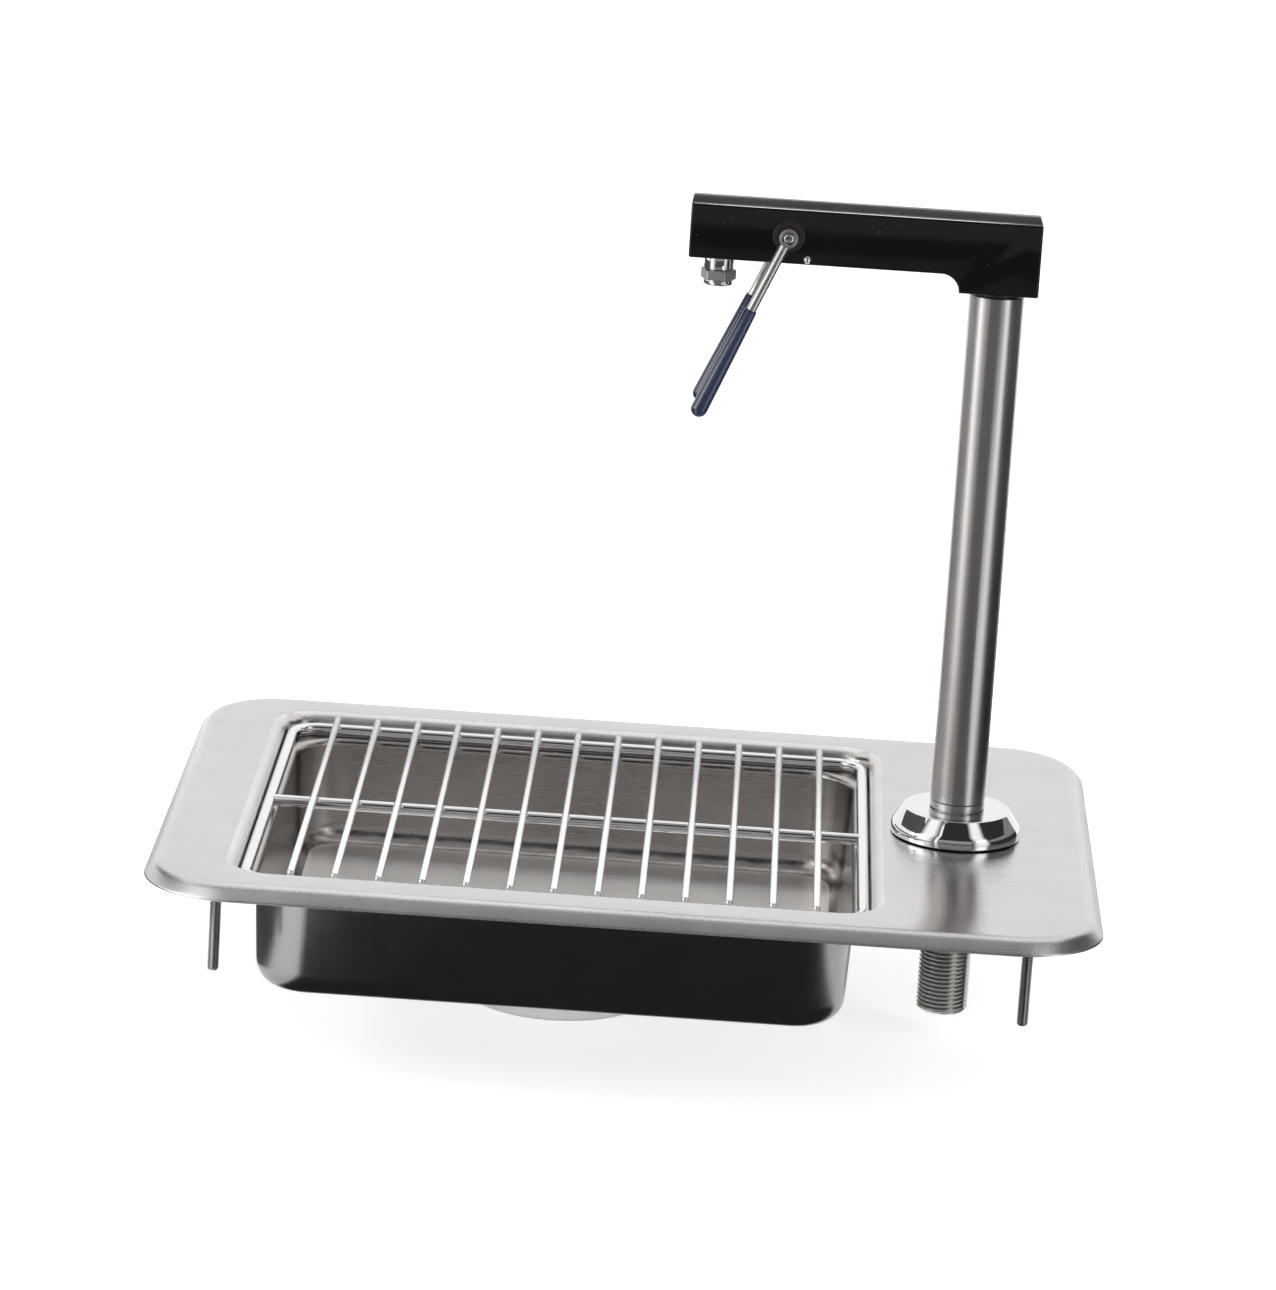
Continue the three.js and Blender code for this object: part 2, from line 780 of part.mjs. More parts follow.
function valveSeatGeometry() {
  return turned([
    [seatBore, seatStart],
    [plugRadius, seatStart],
    [plugRadius, seatEnd - seatLip],
    [seatBore + seatLip, seatEnd - seatLip],
    [seatBore + seatLip, seatEnd],
    [seatBore, seatEnd],
  ]);
}

function poppetGeometry() {
  return turned(
    [
      [0, stemStart],
      [stemRadius, stemStart],
      [stemRadius, poppetStart],
      [poppetRadius, poppetStart],
      [poppetRadius, poppetEnd],
      [stemRadius, poppetEnd],
      [stemRadius, cageEnd + stemTail],
      [0, cageEnd + stemTail],
    ],
    smallSides,
  );
}

class Helix extends THREE.Curve {
  getPoint(share) {
    const angle = share * springTurns * 2 * Math.PI;
    const height = springStart + springWire + share * (springLength - 2 * springWire);
    return new THREE.Vector3(springRadius * Math.cos(angle), springRadius * Math.sin(angle), height);
  }
}

// The least clear distance between neighbouring turns, taken on points of the wire's centre line.
function springGap(points) {
  let least = Infinity;
  for (let i = 0; i < points.length; i++) {
    for (let j = i + springSteps / 2; j < points.length; j++) {
      least = Math.min(least, points[i].distanceTo(points[j]));
    }
  }
  return least - 2 * springWire;
}

function springGeometry() {
  const path = new Helix();
  const steps = springTurns * springSteps;
  console.log(`valve_spring: least gap to itself ${springGap(path.getPoints(steps)).toFixed(2)} mm`);
  const section = new THREE.Shape();
  for (let i = 0; i < springSides; i++) {
    const angle = (i / springSides) * 2 * Math.PI;
    section.lineTo(springWire * Math.cos(angle), springWire * Math.sin(angle));
  }
  section.curves.shift();
  section.closePath();
  return new THREE.ExtrudeGeometry(section, { steps, extrudePath: path, bevelEnabled: false });
}

function cageGeometry() {
  const centreHole = rod(stemRadius + runningGap, cageStart - cutOverrun, cageEnd + cutOverrun, smallSides);
  const ports = holeCircle(cagePorts, cagePortCircle, cagePortRadius, cageStart, cageEnd);
  return cut(rod(plugRadius, cageStart, cageEnd), centreHole, ...ports);
}

// Lever: about the cross shaft, hanging straight down.

function leverShaftGeometry() {
  const end = armHalf + bushingProud;
  const shaft = alongY(rod(shaftRadius, -end, end, smallSides));
  const neck = new THREE.BoxGeometry(fingerNeck, fingerWidth, fingerReach).translate(0, 0, -fingerReach / 2);
  const nose = alongY(rod(fingerTip, -fingerWidth / 2, fingerWidth / 2, smallSides));
  const holes = [-1, 1].map((side) =>
    alongY(rod(hubScrewRadius + seatGap, screwEnd - seatGap, end + cutOverrun, smallSides), side),
  );
  return cut(join(shaft, neck, nose.translate(0, 0, -fingerReach)), ...holes);
}

function bushingGeometry(side) {
  const outer = armHalf + bushingProud;
  const inner = outer - bushingLength;
  const ring = turned([
    [shaftRadius + runningGap, inner],
    [bushingRadius, inner],
    [bushingRadius, outer - bushingBreak],
    [bushingRadius - bushingBreak, outer],
    [shaftRadius + runningGap, outer],
  ]);
  return alongY(ring, side);
}

function prongGeometry(side) {
  const eye = turned([
    [0, hubInner],
    [hubRadius, hubInner],
    [hubRadius, hubOuter - hubBreak],
    [hubRadius - hubBreak, hubOuter],
    [0, hubOuter],
  ]);
  const stem = rod(prongRadius, -prongLength, -prongRoot, smallSides).translate(0, side * prongCentre, 0);
  const recess = alongY(rod(hubRecessRadius, hubOuter - hubRecessDepth, hubOuter + cutOverrun), side);
  const hole = alongY(rod(hubScrewRadius + seatGap, hubInner - cutOverrun, hubOuter, smallSides), side);
  return cut(join(alongY(eye, side), stem), recess, hole);
}

function gripGeometry(side) {
  const bore = prongRadius + runningGap;
  const tip = [];
  for (let step = 0; step <= tipSteps; step++) {
    const angle = (step / tipSteps) * (Math.PI / 2);
    const radius = step === tipSteps ? 0 : gripTipRadius * Math.cos(angle);
    tip.push([radius, leverLength - gripTipRadius + gripTipRadius * Math.sin(angle)]);
  }
  const outline = [
    [0, prongLength + seatGap],
    [bore, prongLength + seatGap],
    [bore, gripStart],
    [gripTopRadius, gripStart],
    ...tip,
  ];
  return turned(outline, smallSides).rotateX(Math.PI).translate(0, side * prongCentre, 0);
}

function hubScrewGeometry(side) {
  const blank = turned(
    [
      [0, screwEnd],
      [hubScrewRadius, screwEnd],
      [hubScrewRadius, screwSeat],
      [hubScrewHead, screwSeat],
      [hubScrewHead, screwTop],
      [0, screwTop],
    ],
    smallSides,
  );
  const socket = hexagon(hubSocketAcross, hubSocketDepth + cutOverrun);
  return alongY(cut(blank, socket.translate(0, 0, screwTop - hubSocketDepth)), side);
}

function stopPinGeometry() {
  const dome = [];
  for (let step = 0; step <= tipSteps; step++) {
    const angle = (step / tipSteps) * (Math.PI / 2);
    const radius = step === tipSteps ? 0 : stopPinRadius * Math.cos(angle);
    dome.push([radius, armHalf + stopPinProud - stopPinRadius + stopPinRadius * Math.sin(angle)]);
  }
  const outline = [
    [0, armHalf - stopPinDepth],
    [stopPinShank, armHalf - stopPinDepth],
    [stopPinShank, armHalf + seatGap],
    [stopPinRadius, armHalf + seatGap],
    ...dome,
  ];
  return alongY(turned(outline, smallSides), -1);
}

// Nozzle, about its own axis

function nozzleTubeGeometry() {
  return turned([
    [nozzleBore, nozzleTailEnd],
    [nozzleTailRadius, nozzleTailEnd],
    [nozzleTailRadius, nozzleTubeEnd],
    [nozzleRadius, nozzleTubeEnd],
    [nozzleRadius, armBottom - seatGap],
    [nozzleSpigot, armBottom - seatGap],
    [nozzleSpigot, armBottom + nozzleSpigotLength],
    [nozzleBore, armBottom + nozzleSpigotLength],
  ]);
}

function nozzleTipGeometry() {
  const socket = nozzleTailRadius + seatGap;
  const round = [];
  for (let step = 0; step <= bendSteps; step++) {
    const angle = (step / bendSteps - 1) * (Math.PI / 2);
    round.push([
      tipRadius - tipRound + tipRound * Math.cos(angle),
      nozzleTipEnd + tipRound + tipRound * Math.sin(angle),
    ]);
  }
  return turned([
    [tipBore, nozzleTipEnd],
    ...round,
    [tipRadius, nozzleTipEnd + tipHeight],
    [socket, nozzleTipEnd + tipHeight],
    [socket, nozzleTipEnd + tipLedge],
    [tipBore, nozzleTipEnd + tipLedge],
  ]);
}

function screenGeometry() {
  const low = nozzleTipEnd + tipLedge + seatGap;
  const high = low + screenThickness;
  const holes = holeCircle(screenHoles, screenHoleCircle, screenHoleRadius, low, high);
  return cut(rod(nozzleTailRadius, low, high), ...holes);
}

// Assembly

function piece(name, geometry, finish) {
  const mesh = new THREE.Mesh(geometry, new THREE.MeshStandardMaterial(finish));
  mesh.name = name;
  return mesh;
}

function assembly(x, y, z, ...children) {
  const group = new THREE.Group();
  group.position.set(x, y, z);
  group.add(...children);
  return group;
}

function studs() {
  const places = [
    ["front_left", -1, -1],
    ["front_right", 1, -1],
    ["back_right", 1, 1],
    ["back_left", -1, 1],
  ];
  return places.map(([place, signX, signY]) => {
    const stud = piece(`mounting_stud_${place}`, studGeometry(), satin);
    stud.position.set(signX * (panLength / 2 - studInsetX), signY * (panDepth / 2 - studInsetY), 0);
    return stud;
  });
}

function drain() {
  const gasket = pipe(drainGasketRadius, drainHole, drainNutTop + seatGap, dishUnder - seatGap);
  return assembly(
    recessShift, 0, 0,
    piece("drain_body", drainBodyGeometry(), satin),
    piece("strainer_plate", strainerGeometry(), satin),
    piece("drain_gasket", gasket, rubber),
    piece("drain_locknut", drainNutGeometry(), plastic),
  );
}

function rack() {
  const midLength = 2 * (rackHalfX - rackFrameRadius - seatGap);
  const midGeometry = rod(rackFrameRadius, -midLength / 2, midLength / 2, wireSides);
  const midRod = piece("rack_mid_rod", alongX(midGeometry), chrome);
  midRod.position.z = rackFrameLevel;
  const wires = [];
  for (let i = 0; i < rackWires; i++) {
    const number = String(i + 1).padStart(2, "0");
    const wire = piece(`rack_wire_${number}`, alongY(wireGeometry(rackWireRadius, rackWireLength)), chrome);
    wire.position.set((i - (rackWires - 1) / 2) * rackPitch, 0, rackWireLevel);
    wires.push(wire);
  }
  return assembly(recessShift, 0, 0, piece("rack_frame", rackFrameGeometry(), chrome), midRod, ...wires);
}

function column() {
  const gasketTop = seatGap + gasketThickness;
  const washerTop = -sheet - seatGap;
  const nutBottom = washerTop - washerThickness - seatGap - nutHeight;
  const shankHole = shankRadius + seatGap;
  const locknut = hexNut(nutAcross, shankHole, nutHeight, nutChamfer).translate(0, 0, nutBottom);
  const lowerSeal = ringSeal(riserSealRadius, sealRadius, collarTop + tubeSpigot + seatGap + sealRadius);
  const upperSeal = ringSeal(riserSealRadius, sealRadius, neckBottom - seatGap - sealRadius);
  return [
    piece("escutcheon", roseGeometry(), chrome),
    piece("escutcheon_gasket", pipe(gasketRadius, shankHole, seatGap, gasketTop), rubber),
    piece("threaded_shank", shankGeometry(), chrome),
    piece("shank_washer", pipe(washerRadius, shankHole, washerTop - washerThickness, washerTop), satin),
    piece("shank_locknut", locknut, brass),
    piece("column_tube", pipe(columnRadius, columnInner, collarTop + seatGap, columnTop), columnSteel),
    piece("riser_tube", pipe(riserRadius, riserBore, riserBottom, riserTop, smallSides), brass),
    piece("riser_seal_lower", lowerSeal, rubber),
    piece("riser_seal_upper", upperSeal, rubber),
    piece("head_spigot", neckGeometry(), brown),
  ];
}

function valve() {
  const washer = pipe(poppetWasherRadius, stemRadius + seatGap, washerStart, washerEnd, smallSides);
  return assembly(
    0, 0, waterwayLevel,
    piece("head_plug", alongX(plugGeometry()), satin),
    piece("valve_seat", alongX(valveSeatGeometry()), brass),
    piece("valve_poppet", alongX(poppetGeometry()), brass),
    piece("poppet_seal", alongX(washer), rubber),
    piece("valve_spring", alongX(springGeometry()), satin),
    piece("spring_cage", alongX(cageGeometry()), brass),
  );
}

function lever() {
  const swinging = assembly(
    0, 0, 0,
    piece("lever_shaft", leverShaftGeometry(), satin),
    piece("prong_front", prongGeometry(-1), satin),
    piece("prong_back", prongGeometry(1), satin),
    piece("grip_front", gripGeometry(-1), navy),
    piece("grip_back", gripGeometry(1), navy),
    piece("hub_screw_front", hubScrewGeometry(-1), chrome),
    piece("hub_screw_back", hubScrewGeometry(1), chrome),
  );
  swinging.rotation.y = leverTilt * degrees;
  const sealCentre = shaftRadius + seatGap + shaftSealRadius;
  const sealLevel = armHalf + bushingProud - bushingLength - seatGap - shaftSealRadius;
  return assembly(
    -leverReach, 0, shaftLevel,
    swinging,
    piece("bushing_front", bushingGeometry(-1), brown),
    piece("bushing_back", bushingGeometry(1), brown),
    piece("shaft_seal_front", alongY(ringSeal(sealCentre, shaftSealRadius, sealLevel), -1), rubber),
    piece("shaft_seal_back", alongY(ringSeal(sealCentre, shaftSealRadius, sealLevel), 1), rubber),
  );
}

function nozzle() {
  const nut = hexNut(
    nozzleNutAcross,
    nozzleTailRadius + seatGap,
    nozzleNutHeight,
    nozzleNutChamfer,
    nozzleNutTurn * degrees,
  );
  const nutBottom = nozzleTubeEnd - seatGap - nozzleNutHeight;
  const oRing = ringSeal(
    nozzleSpigot - nozzleSealRadius,
    nozzleSealRadius,
    nozzleSocketTop - seatGap - nozzleSealRadius,
  );
  return assembly(
    -nozzleReach, 0, 0,
    piece("nozzle_tube", nozzleTubeGeometry(), chrome),
    piece("nozzle_nut", nut.translate(0, 0, nutBottom), satin),
    piece("nozzle_tip", nozzleTipGeometry(), chrome),
    piece("stream_screen", screenGeometry(), satin),
    piece("nozzle_o_ring", oRing, rubber),
  );
}

function filler() {
  const stopPin = piece("stop_pin", stopPinGeometry(), chrome);
  stopPin.position.set(stopPinX, 0, stopPinZ);
  return assembly(
    fillerX, fillerY, panTop,
    ...column(),
    piece("head_body", headGeometry(), black),
    valve(),
    lever(),
    stopPin,
    nozzle(),
  );
}

const waterStation = assembly(
  0, 0, 0,
  piece("drip_pan", panGeometry(), satin),
  ...studs(),
  drain(),
  rack(),
  filler(),
);

export default waterStation;
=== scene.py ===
"""The looks of the drop-in water station: steel pan, chrome rack, drain, studs and glass filler.

Sizes are in millimetres until a mesh is finished, and in metres in the scene. The frame's solids
give every place; a piece's own small sizes are the fields of its class.
"""
import logging
import math
from collections.abc import Callable, Sequence
from dataclasses import dataclass, field
from enum import Enum
from typing import Any

import bmesh
import bpy
from mathutils import Matrix, Vector


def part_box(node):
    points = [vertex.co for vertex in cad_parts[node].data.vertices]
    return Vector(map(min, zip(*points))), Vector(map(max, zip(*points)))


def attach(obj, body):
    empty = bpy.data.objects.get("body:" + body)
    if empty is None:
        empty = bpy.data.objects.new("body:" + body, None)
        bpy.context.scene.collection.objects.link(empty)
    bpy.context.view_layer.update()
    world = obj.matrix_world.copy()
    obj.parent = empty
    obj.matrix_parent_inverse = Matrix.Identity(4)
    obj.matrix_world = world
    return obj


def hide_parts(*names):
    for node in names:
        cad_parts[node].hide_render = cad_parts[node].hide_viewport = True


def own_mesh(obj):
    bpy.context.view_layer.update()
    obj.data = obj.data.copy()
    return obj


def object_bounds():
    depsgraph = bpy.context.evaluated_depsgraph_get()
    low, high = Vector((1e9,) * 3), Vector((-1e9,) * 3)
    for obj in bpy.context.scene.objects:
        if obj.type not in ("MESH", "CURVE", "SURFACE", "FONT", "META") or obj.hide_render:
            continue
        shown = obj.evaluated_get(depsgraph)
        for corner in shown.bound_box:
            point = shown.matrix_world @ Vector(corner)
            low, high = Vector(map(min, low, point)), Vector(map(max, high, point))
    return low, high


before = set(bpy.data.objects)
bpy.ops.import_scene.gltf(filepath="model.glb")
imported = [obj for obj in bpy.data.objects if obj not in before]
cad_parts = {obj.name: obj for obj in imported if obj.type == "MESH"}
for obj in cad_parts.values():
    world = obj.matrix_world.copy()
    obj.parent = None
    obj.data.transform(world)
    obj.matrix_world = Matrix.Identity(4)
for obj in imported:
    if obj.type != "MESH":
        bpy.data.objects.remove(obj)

CAD_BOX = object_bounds()
MM = 0.001
CREASE = 38  # degrees
DOUBLE = 0.002 * MM  # closer points than this are one
MIDDLE = 0.5  # of a noise
PAST = 1  # how far a cutting shape stands out of the surface
log = logging.getLogger("water_station")

Point = tuple[float, float]
Corner = tuple[float, float, float]


# Node trees written as expressions

class Signal:
    """A socket of a node tree that takes part in Python arithmetic."""

    def __init__(self, bench: "Bench", socket: bpy.types.NodeSocket) -> None:
        """Keeps the bench, which adds nodes, and the socket."""
        self.bench = bench
        self.socket = socket

    def math(self, operation: str, *values: Any) -> "Signal":
        """Returns the result of a Math node on the values."""
        return self.bench.node("ShaderNodeMath", {"operation": operation}, dict(enumerate(values)))

    def __add__(self, other: Any) -> "Signal":
        """Returns self + other."""
        return self.math("ADD", self, other)

    def __sub__(self, other: Any) -> "Signal":
        """Returns self - other."""
        return self.math("SUBTRACT", self, other)

    def __rsub__(self, other: Any) -> "Signal":
        """Returns other - self."""
        return self.math("SUBTRACT", other, self)

    def __mul__(self, other: Any) -> "Signal":
        """Returns self * other."""
        return self.math("MULTIPLY", self, other)

    def __truediv__(self, other: Any) -> "Signal":
        """Returns self / other."""
        return self.math("DIVIDE", self, other)

    __radd__ = __add__
    __rmul__ = __mul__

    def least(self, other: Any) -> "Signal":
        """Returns the smaller of self and other."""
        return self.math("MINIMUM", self, other)

    def most(self, other: Any) -> "Signal":
        """Returns the larger of self and other."""
        return self.math("MAXIMUM", self, other)

    def clamped(self) -> "Signal":
        """Returns self held between 0 and 1."""
        return self.bench.node("ShaderNodeClamp", {}, {"Value": self})

    def above(self, level: Any) -> "Signal":
        """Returns 1 where self is greater than the level, else 0."""
        return self.math("GREATER_THAN", self, level)

    def fraction(self) -> "Signal":
        """Returns self less its whole part."""
        return self.math("FRACT", self)

    def magnitude(self) -> "Signal":
        """Returns self without its sign."""
        return self.math("ABSOLUTE", self)


class Bench:
    """A node tree in the making."""

    def __init__(self, tree: bpy.types.NodeTree) -> None:
        """Keeps the tree that nodes are added to."""
        self.tree = tree

    def node(self, kind: str, settings: dict[str, Any] | None = None,
             values: dict[int | str, Any] | None = None, out: int | str = 0) -> Signal:
        """Adds one node.

        Args:
            kind: the node's type.
            settings: its properties, which are set first.
            values: its sockets' values or the signals linked to them. A list links several.
            out: the output socket that is returned.

        Returns:
            The output socket as a signal.
        """
        node = self.tree.nodes.new(kind)
        for name, setting in (settings or {}).items():
            setattr(node, name, setting)
        for name, value in (values or {}).items():
            for single in value if isinstance(value, list) else [value]:
                if isinstance(single, Signal):
                    self.tree.links.new(single.socket, node.inputs[name])
                else:
                    node.inputs[name].default_value = single
        return Signal(self, node.outputs[out])

    def split(self, vector: Signal) -> tuple[Signal, Signal, Signal]:
        """Splits a vector.

        Args:
            vector: the vector's signal.

        Returns:
            Its x, y and z.
        """
        first = self.node("ShaderNodeSeparateXYZ", {}, {0: vector})
        outputs = first.socket.node.outputs
        return first, Signal(self, outputs[1]), Signal(self, outputs[2])

    def vector(self, x: Any, y: Any, z: Any) -> Signal:
        """Returns a vector made of three values."""
        return self.node("ShaderNodeCombineXYZ", {}, {0: x, 1: y, 2: z})


class Texture(Enum):
    """How rough a noise is, as its detail and roughness."""

    BRUSHED = (3, 0.65)
    BROAD = (2, 0.5)
    CLOUD = (4, 0.55)
    HAZE = (4, 0.6)
    WAVE = (1, 0.4)
    SMEAR = (3, 0.55)
    PEEL = (3, 0.5)


class MaterialBench(Bench):
    """The node tree of one material."""

    def __init__(self, name: str) -> None:
        """Makes an empty material.

        Args:
            name: the material's name.
        """
        self.material = bpy.data.materials.new(name)
        self.material.use_nodes = True
        super().__init__(self.material.node_tree)
        self.tree.nodes.clear()

    def place(self, scale: Sequence[float] = (1, 1, 1)) -> Signal:
        """Returns object coordinates in metres, stretched by scale."""
        coordinates = self.node("ShaderNodeTexCoord", {}, {}, "Object")
        return self.node("ShaderNodeMapping", {}, {"Vector": coordinates, "Scale": tuple(scale)})

    def noise(self, where: Signal, scale: float, texture: Texture) -> Signal:
        """Makes noise about its MIDDLE.

        Args:
            where: the coordinates.
            scale: how fine it is.
            texture: how rough it is.

        Returns:
            The noise.
        """
        detail, roughness = texture.value
        values = {"Vector": where, "Scale": scale, "Detail": detail, "Roughness": roughness}
        return self.node("ShaderNodeTexNoise", {"noise_dimensions": "3D"}, values)

    def blend(self, share: Any, dark: Sequence[float], light: Sequence[float]) -> Signal:
        """Returns a colour between dark and light."""
        return self.node("ShaderNodeMix", {"data_type": "RGBA"},
                         {0: share, 6: (*dark, 1), 7: (*light, 1)}, 2)

    def bump(self, height: Signal, distance: float) -> Signal:
        """Returns the normal of a surface raised by height times distance, in metres."""
        return self.node("ShaderNodeBump", {},
                         {"Height": height, "Distance": distance, "Strength": 1})

    def finish(self, surface: Signal) -> bpy.types.Material:
        """Adds the output node.

        Args:
            surface: the shader that is shown.

        Returns:
            The finished material.
        """
        output = self.tree.nodes.new("ShaderNodeOutputMaterial")
        self.tree.links.new(surface.socket, output.inputs["Surface"])
        return self.material

    def surface(self, **sockets: Any) -> bpy.types.Material:
        """Finishes the material with one Principled shader; underscores stand for spaces."""
        values = {name.replace("_", " "): value for name, value in sockets.items()}
        return self.finish(self.node("ShaderNodeBsdfPrincipled", {}, values))


class GeometryBench(Bench):
    """A Geometry Nodes tree with named inputs."""

    def __init__(self, name: str) -> None:
        """Makes an empty tree with one geometry output.

        Args:
            name: the tree's name.
        """
        super().__init__(bpy.data.node_groups.new(name, "GeometryNodeTree"))
        self.tree.interface.new_socket("Geometry", in_out="OUTPUT",
                                       socket_type="NodeSocketGeometry")
        self.entry = self.tree.nodes.new("NodeGroupInput")
        self.given: dict[str, Any] = {}

    def input(self, name: str, value: Any) -> Signal:
        """Adds a named input.

        Args:
            name: the input's name.
            value: what this object gives it. Its type is the socket's type.

        Returns:
            The input as a signal.
        """
        kinds = {int: "NodeSocketInt", float: "NodeSocketFloat", tuple: "NodeSocketVector"}
        kind = kinds.get(type(value), "NodeSocketMaterial")
        socket = self.tree.interface.new_socket(name, in_out="INPUT", socket_type=kind)
        self.given[socket.identifier] = value
        return Signal(self, self.entry.outputs[name])

    def position(self) -> tuple[Signal, Signal, Signal]:
        """Returns the x, y and z of each point."""
        return self.split(self.node("GeometryNodeInputPosition"))

    def reshaped(self, geometry: Signal, place: Signal) -> Signal:
        """Returns the geometry with its points at new places."""
        return self.node("GeometryNodeSetPosition", {}, {"Geometry": geometry, "Position": place})

    def moved(self, geometry: Signal, place: Sequence[float]) -> Signal:
        """Returns the geometry moved as a whole."""
        return self.node("GeometryNodeTransform", {},
                         {"Geometry": geometry, "Translation": tuple(place)})

    def repeated(self, points: Signal, piece: Signal) -> Signal:
        """Returns the piece at each of the points."""
        return self.node("GeometryNodeInstanceOnPoints", {}, {"Points": points, "Instance": piece})

    def swept(self, path: Signal, radius: Signal, sides: int) -> Signal:
        """Sweeps a round section along a path.

        Args:
            path: the curve.
            radius: the section's radius.
            sides: how many sides it has.

        Returns:
            The swept rod, closed at its ends.
        """
        section = self.node("GeometryNodeCurvePrimitiveCircle", {"mode": "RADIUS"},
                            {"Resolution": sides, "Radius": radius})
        return self.node("GeometryNodeCurveToMesh", {},
                         {"Curve": path, "Profile Curve": section, "Fill Caps": True})

    def make(self, name: str, geometry: Signal, material: bpy.types.Material) -> bpy.types.Object:
        """Evaluates the tree once and keeps the result as a plain mesh.

        Args:
            name: the new object's name.
            geometry: the geometry to realise.
            material: the material that Set Material gives it.

        Returns:
            An object with that mesh and no modifier.
        """
        finish = self.input("Finish", material)
        solid = self.node("GeometryNodeRealizeInstances", {}, {0: geometry})
        dressed = self.node("GeometryNodeSetMaterial", {}, {"Geometry": solid, "Material": finish})
        output = self.tree.nodes.new("NodeGroupOutput")
        self.tree.links.new(dressed.socket, output.inputs[0])
        maker = new_object(name + "_maker", bpy.data.meshes.new(name + "_maker"))
        modifier = maker.modifiers.new("Nodes", "NODES")
        modifier.node_group = self.tree
        for identifier, value in self.given.items():
            modifier[identifier] = value
        mesh = evaluated_mesh(maker)
        maker.modifiers.remove(modifier)
        bpy.data.objects.remove(maker)
        mesh.transform(Matrix.Scale(MM, 4))
        tidy(mesh)
        return new_object(name, mesh)


# Meshes

def new_object(name: str, mesh: bpy.types.Mesh) -> bpy.types.Object:
    """Puts a new object in the scene.

    Args:
        name: the object's name.
        mesh: its mesh.

    Returns:
        The object.
    """
    piece = bpy.data.objects.new(name, mesh)
    bpy.context.scene.collection.objects.link(piece)
    return piece


def evaluated_mesh(piece: bpy.types.Object) -> bpy.types.Mesh:
    """Applies an object's modifiers.

    Args:
        piece: the object, which stays as it is.

    Returns:
        A new mesh of it.
    """
    bpy.context.view_layer.update()
    graph = bpy.context.evaluated_depsgraph_get()
    return bpy.data.meshes.new_from_object(piece.evaluated_get(graph))


def tidy(mesh: bpy.types.Mesh, crease: float = CREASE) -> None:
    """Merges doubles, drops loose parts, points faces outwards and shades smooth.

    Args:
        mesh: the mesh, in metres.
        crease: the angle in degrees past which an edge stays sharp.
    """
    work = bmesh.new()
    work.from_mesh(mesh)
    bmesh.ops.remove_doubles(work, verts=work.verts, dist=DOUBLE)
    bmesh.ops.dissolve_degenerate(work, edges=work.edges, dist=DOUBLE / 2)
    bmesh.ops.delete(work, geom=[e for e in work.edges if not e.link_faces], context="EDGES")
    bmesh.ops.delete(work, geom=[v for v in work.verts if not v.link_faces], context="VERTS")
    bmesh.ops.recalc_face_normals(work, faces=work.faces)
    work.to_mesh(mesh)
    work.free()
    mesh.polygons.foreach_set("use_smooth", [True] * len(mesh.polygons))
    mesh.set_sharp_from_angle(angle=math.radians(crease))


@dataclass
class Skin:
    """Points and faces in millimetres, before they become a mesh."""

    points: list[Vector] = field(default_factory=list)
    faces: list[tuple[int, ...]] = field(default_factory=list)

    def rings(self, rings: Sequence[Sequence[Vector]], row_closed: bool = False,
              capped: bool = False) -> "Skin":
        """Adds a skin over rings with equal numbers of points.

        Args:
            rings: the rings in order, each of which closes on itself.
            row_closed: whether the last ring joins the first.
            capped: whether the first and last rings are closed with a face.

        Returns:
            The skin itself.
        """
        start, count = len(self.points), len(rings[0])
        for ring in rings:
            self.points.extend(ring)
        for i in range(len(rings) if row_closed else len(rings) - 1):
            here, there = start + i * count, start + (i + 1) % len(rings) * count
            for j in range(count):
                k = (j + 1) % count
                self.faces.append((here + j, here + k, there + k, there + j))
        if capped:
            self.faces.append(tuple(start + j for j in range(count)))
            self.faces.append(tuple(start + (len(rings) - 1) * count + j for j in range(count)))
        return self

    def placed(self, place: Matrix) -> "Skin":
        """Returns the skin moved by a matrix in millimetres."""
        return Skin([place @ p for p in self.points], list(self.faces))

    def object(self, name: str, crease: float = CREASE) -> bpy.types.Object:
        """Makes the skin an object, in metres.

        Args:
            name: the object's name.
            crease: the angle in degrees past which an edge stays sharp.

        Returns:
            The object.
        """
        mesh = bpy.data.meshes.new(name)
        mesh.from_pydata([p * MM for p in self.points], [], self.faces)
        tidy(mesh, crease)
        return new_object(name, mesh)


def rounded(corners: Sequence[Corner], closed: bool, steps: int = 5) -> list[Point]:
    """Rounds the corners of an outline.

    Args:
        corners: each a corner's two coordinates and the radius of its round.
        closed: whether the last corner joins the first.
        steps: how many pieces a round has.

    Returns:
        The outline's points.
    """
    points: list[Point] = []
    count = len(corners)
    for i, (x, y, radius) in enumerate(corners):
        corner = Vector((x, y))
        if radius == 0 or (not closed and i in (0, count - 1)):
            points.append((x, y))
            continue
        before = (Vector(corners[i - 1][:2]) - corner).normalized()
        after = (Vector(corners[(i + 1) % count][:2]) - corner).normalized()
        half = before.angle(after) / 2
        centre = corner + (before + after).normalized() * radius / math.sin(half)
        first = corner + before * radius / math.tan(half) - centre
        last = corner + after * radius / math.tan(half) - centre
        sweep = first.angle_signed(last)
        for step in range(steps + 1):
            angle = -sweep * step / steps
            c, s = math.cos(angle), math.sin(angle)
            points.append((centre.x + (c * first.x - s * first.y),
                           centre.y + (s * first.x + c * first.y)))
    return points


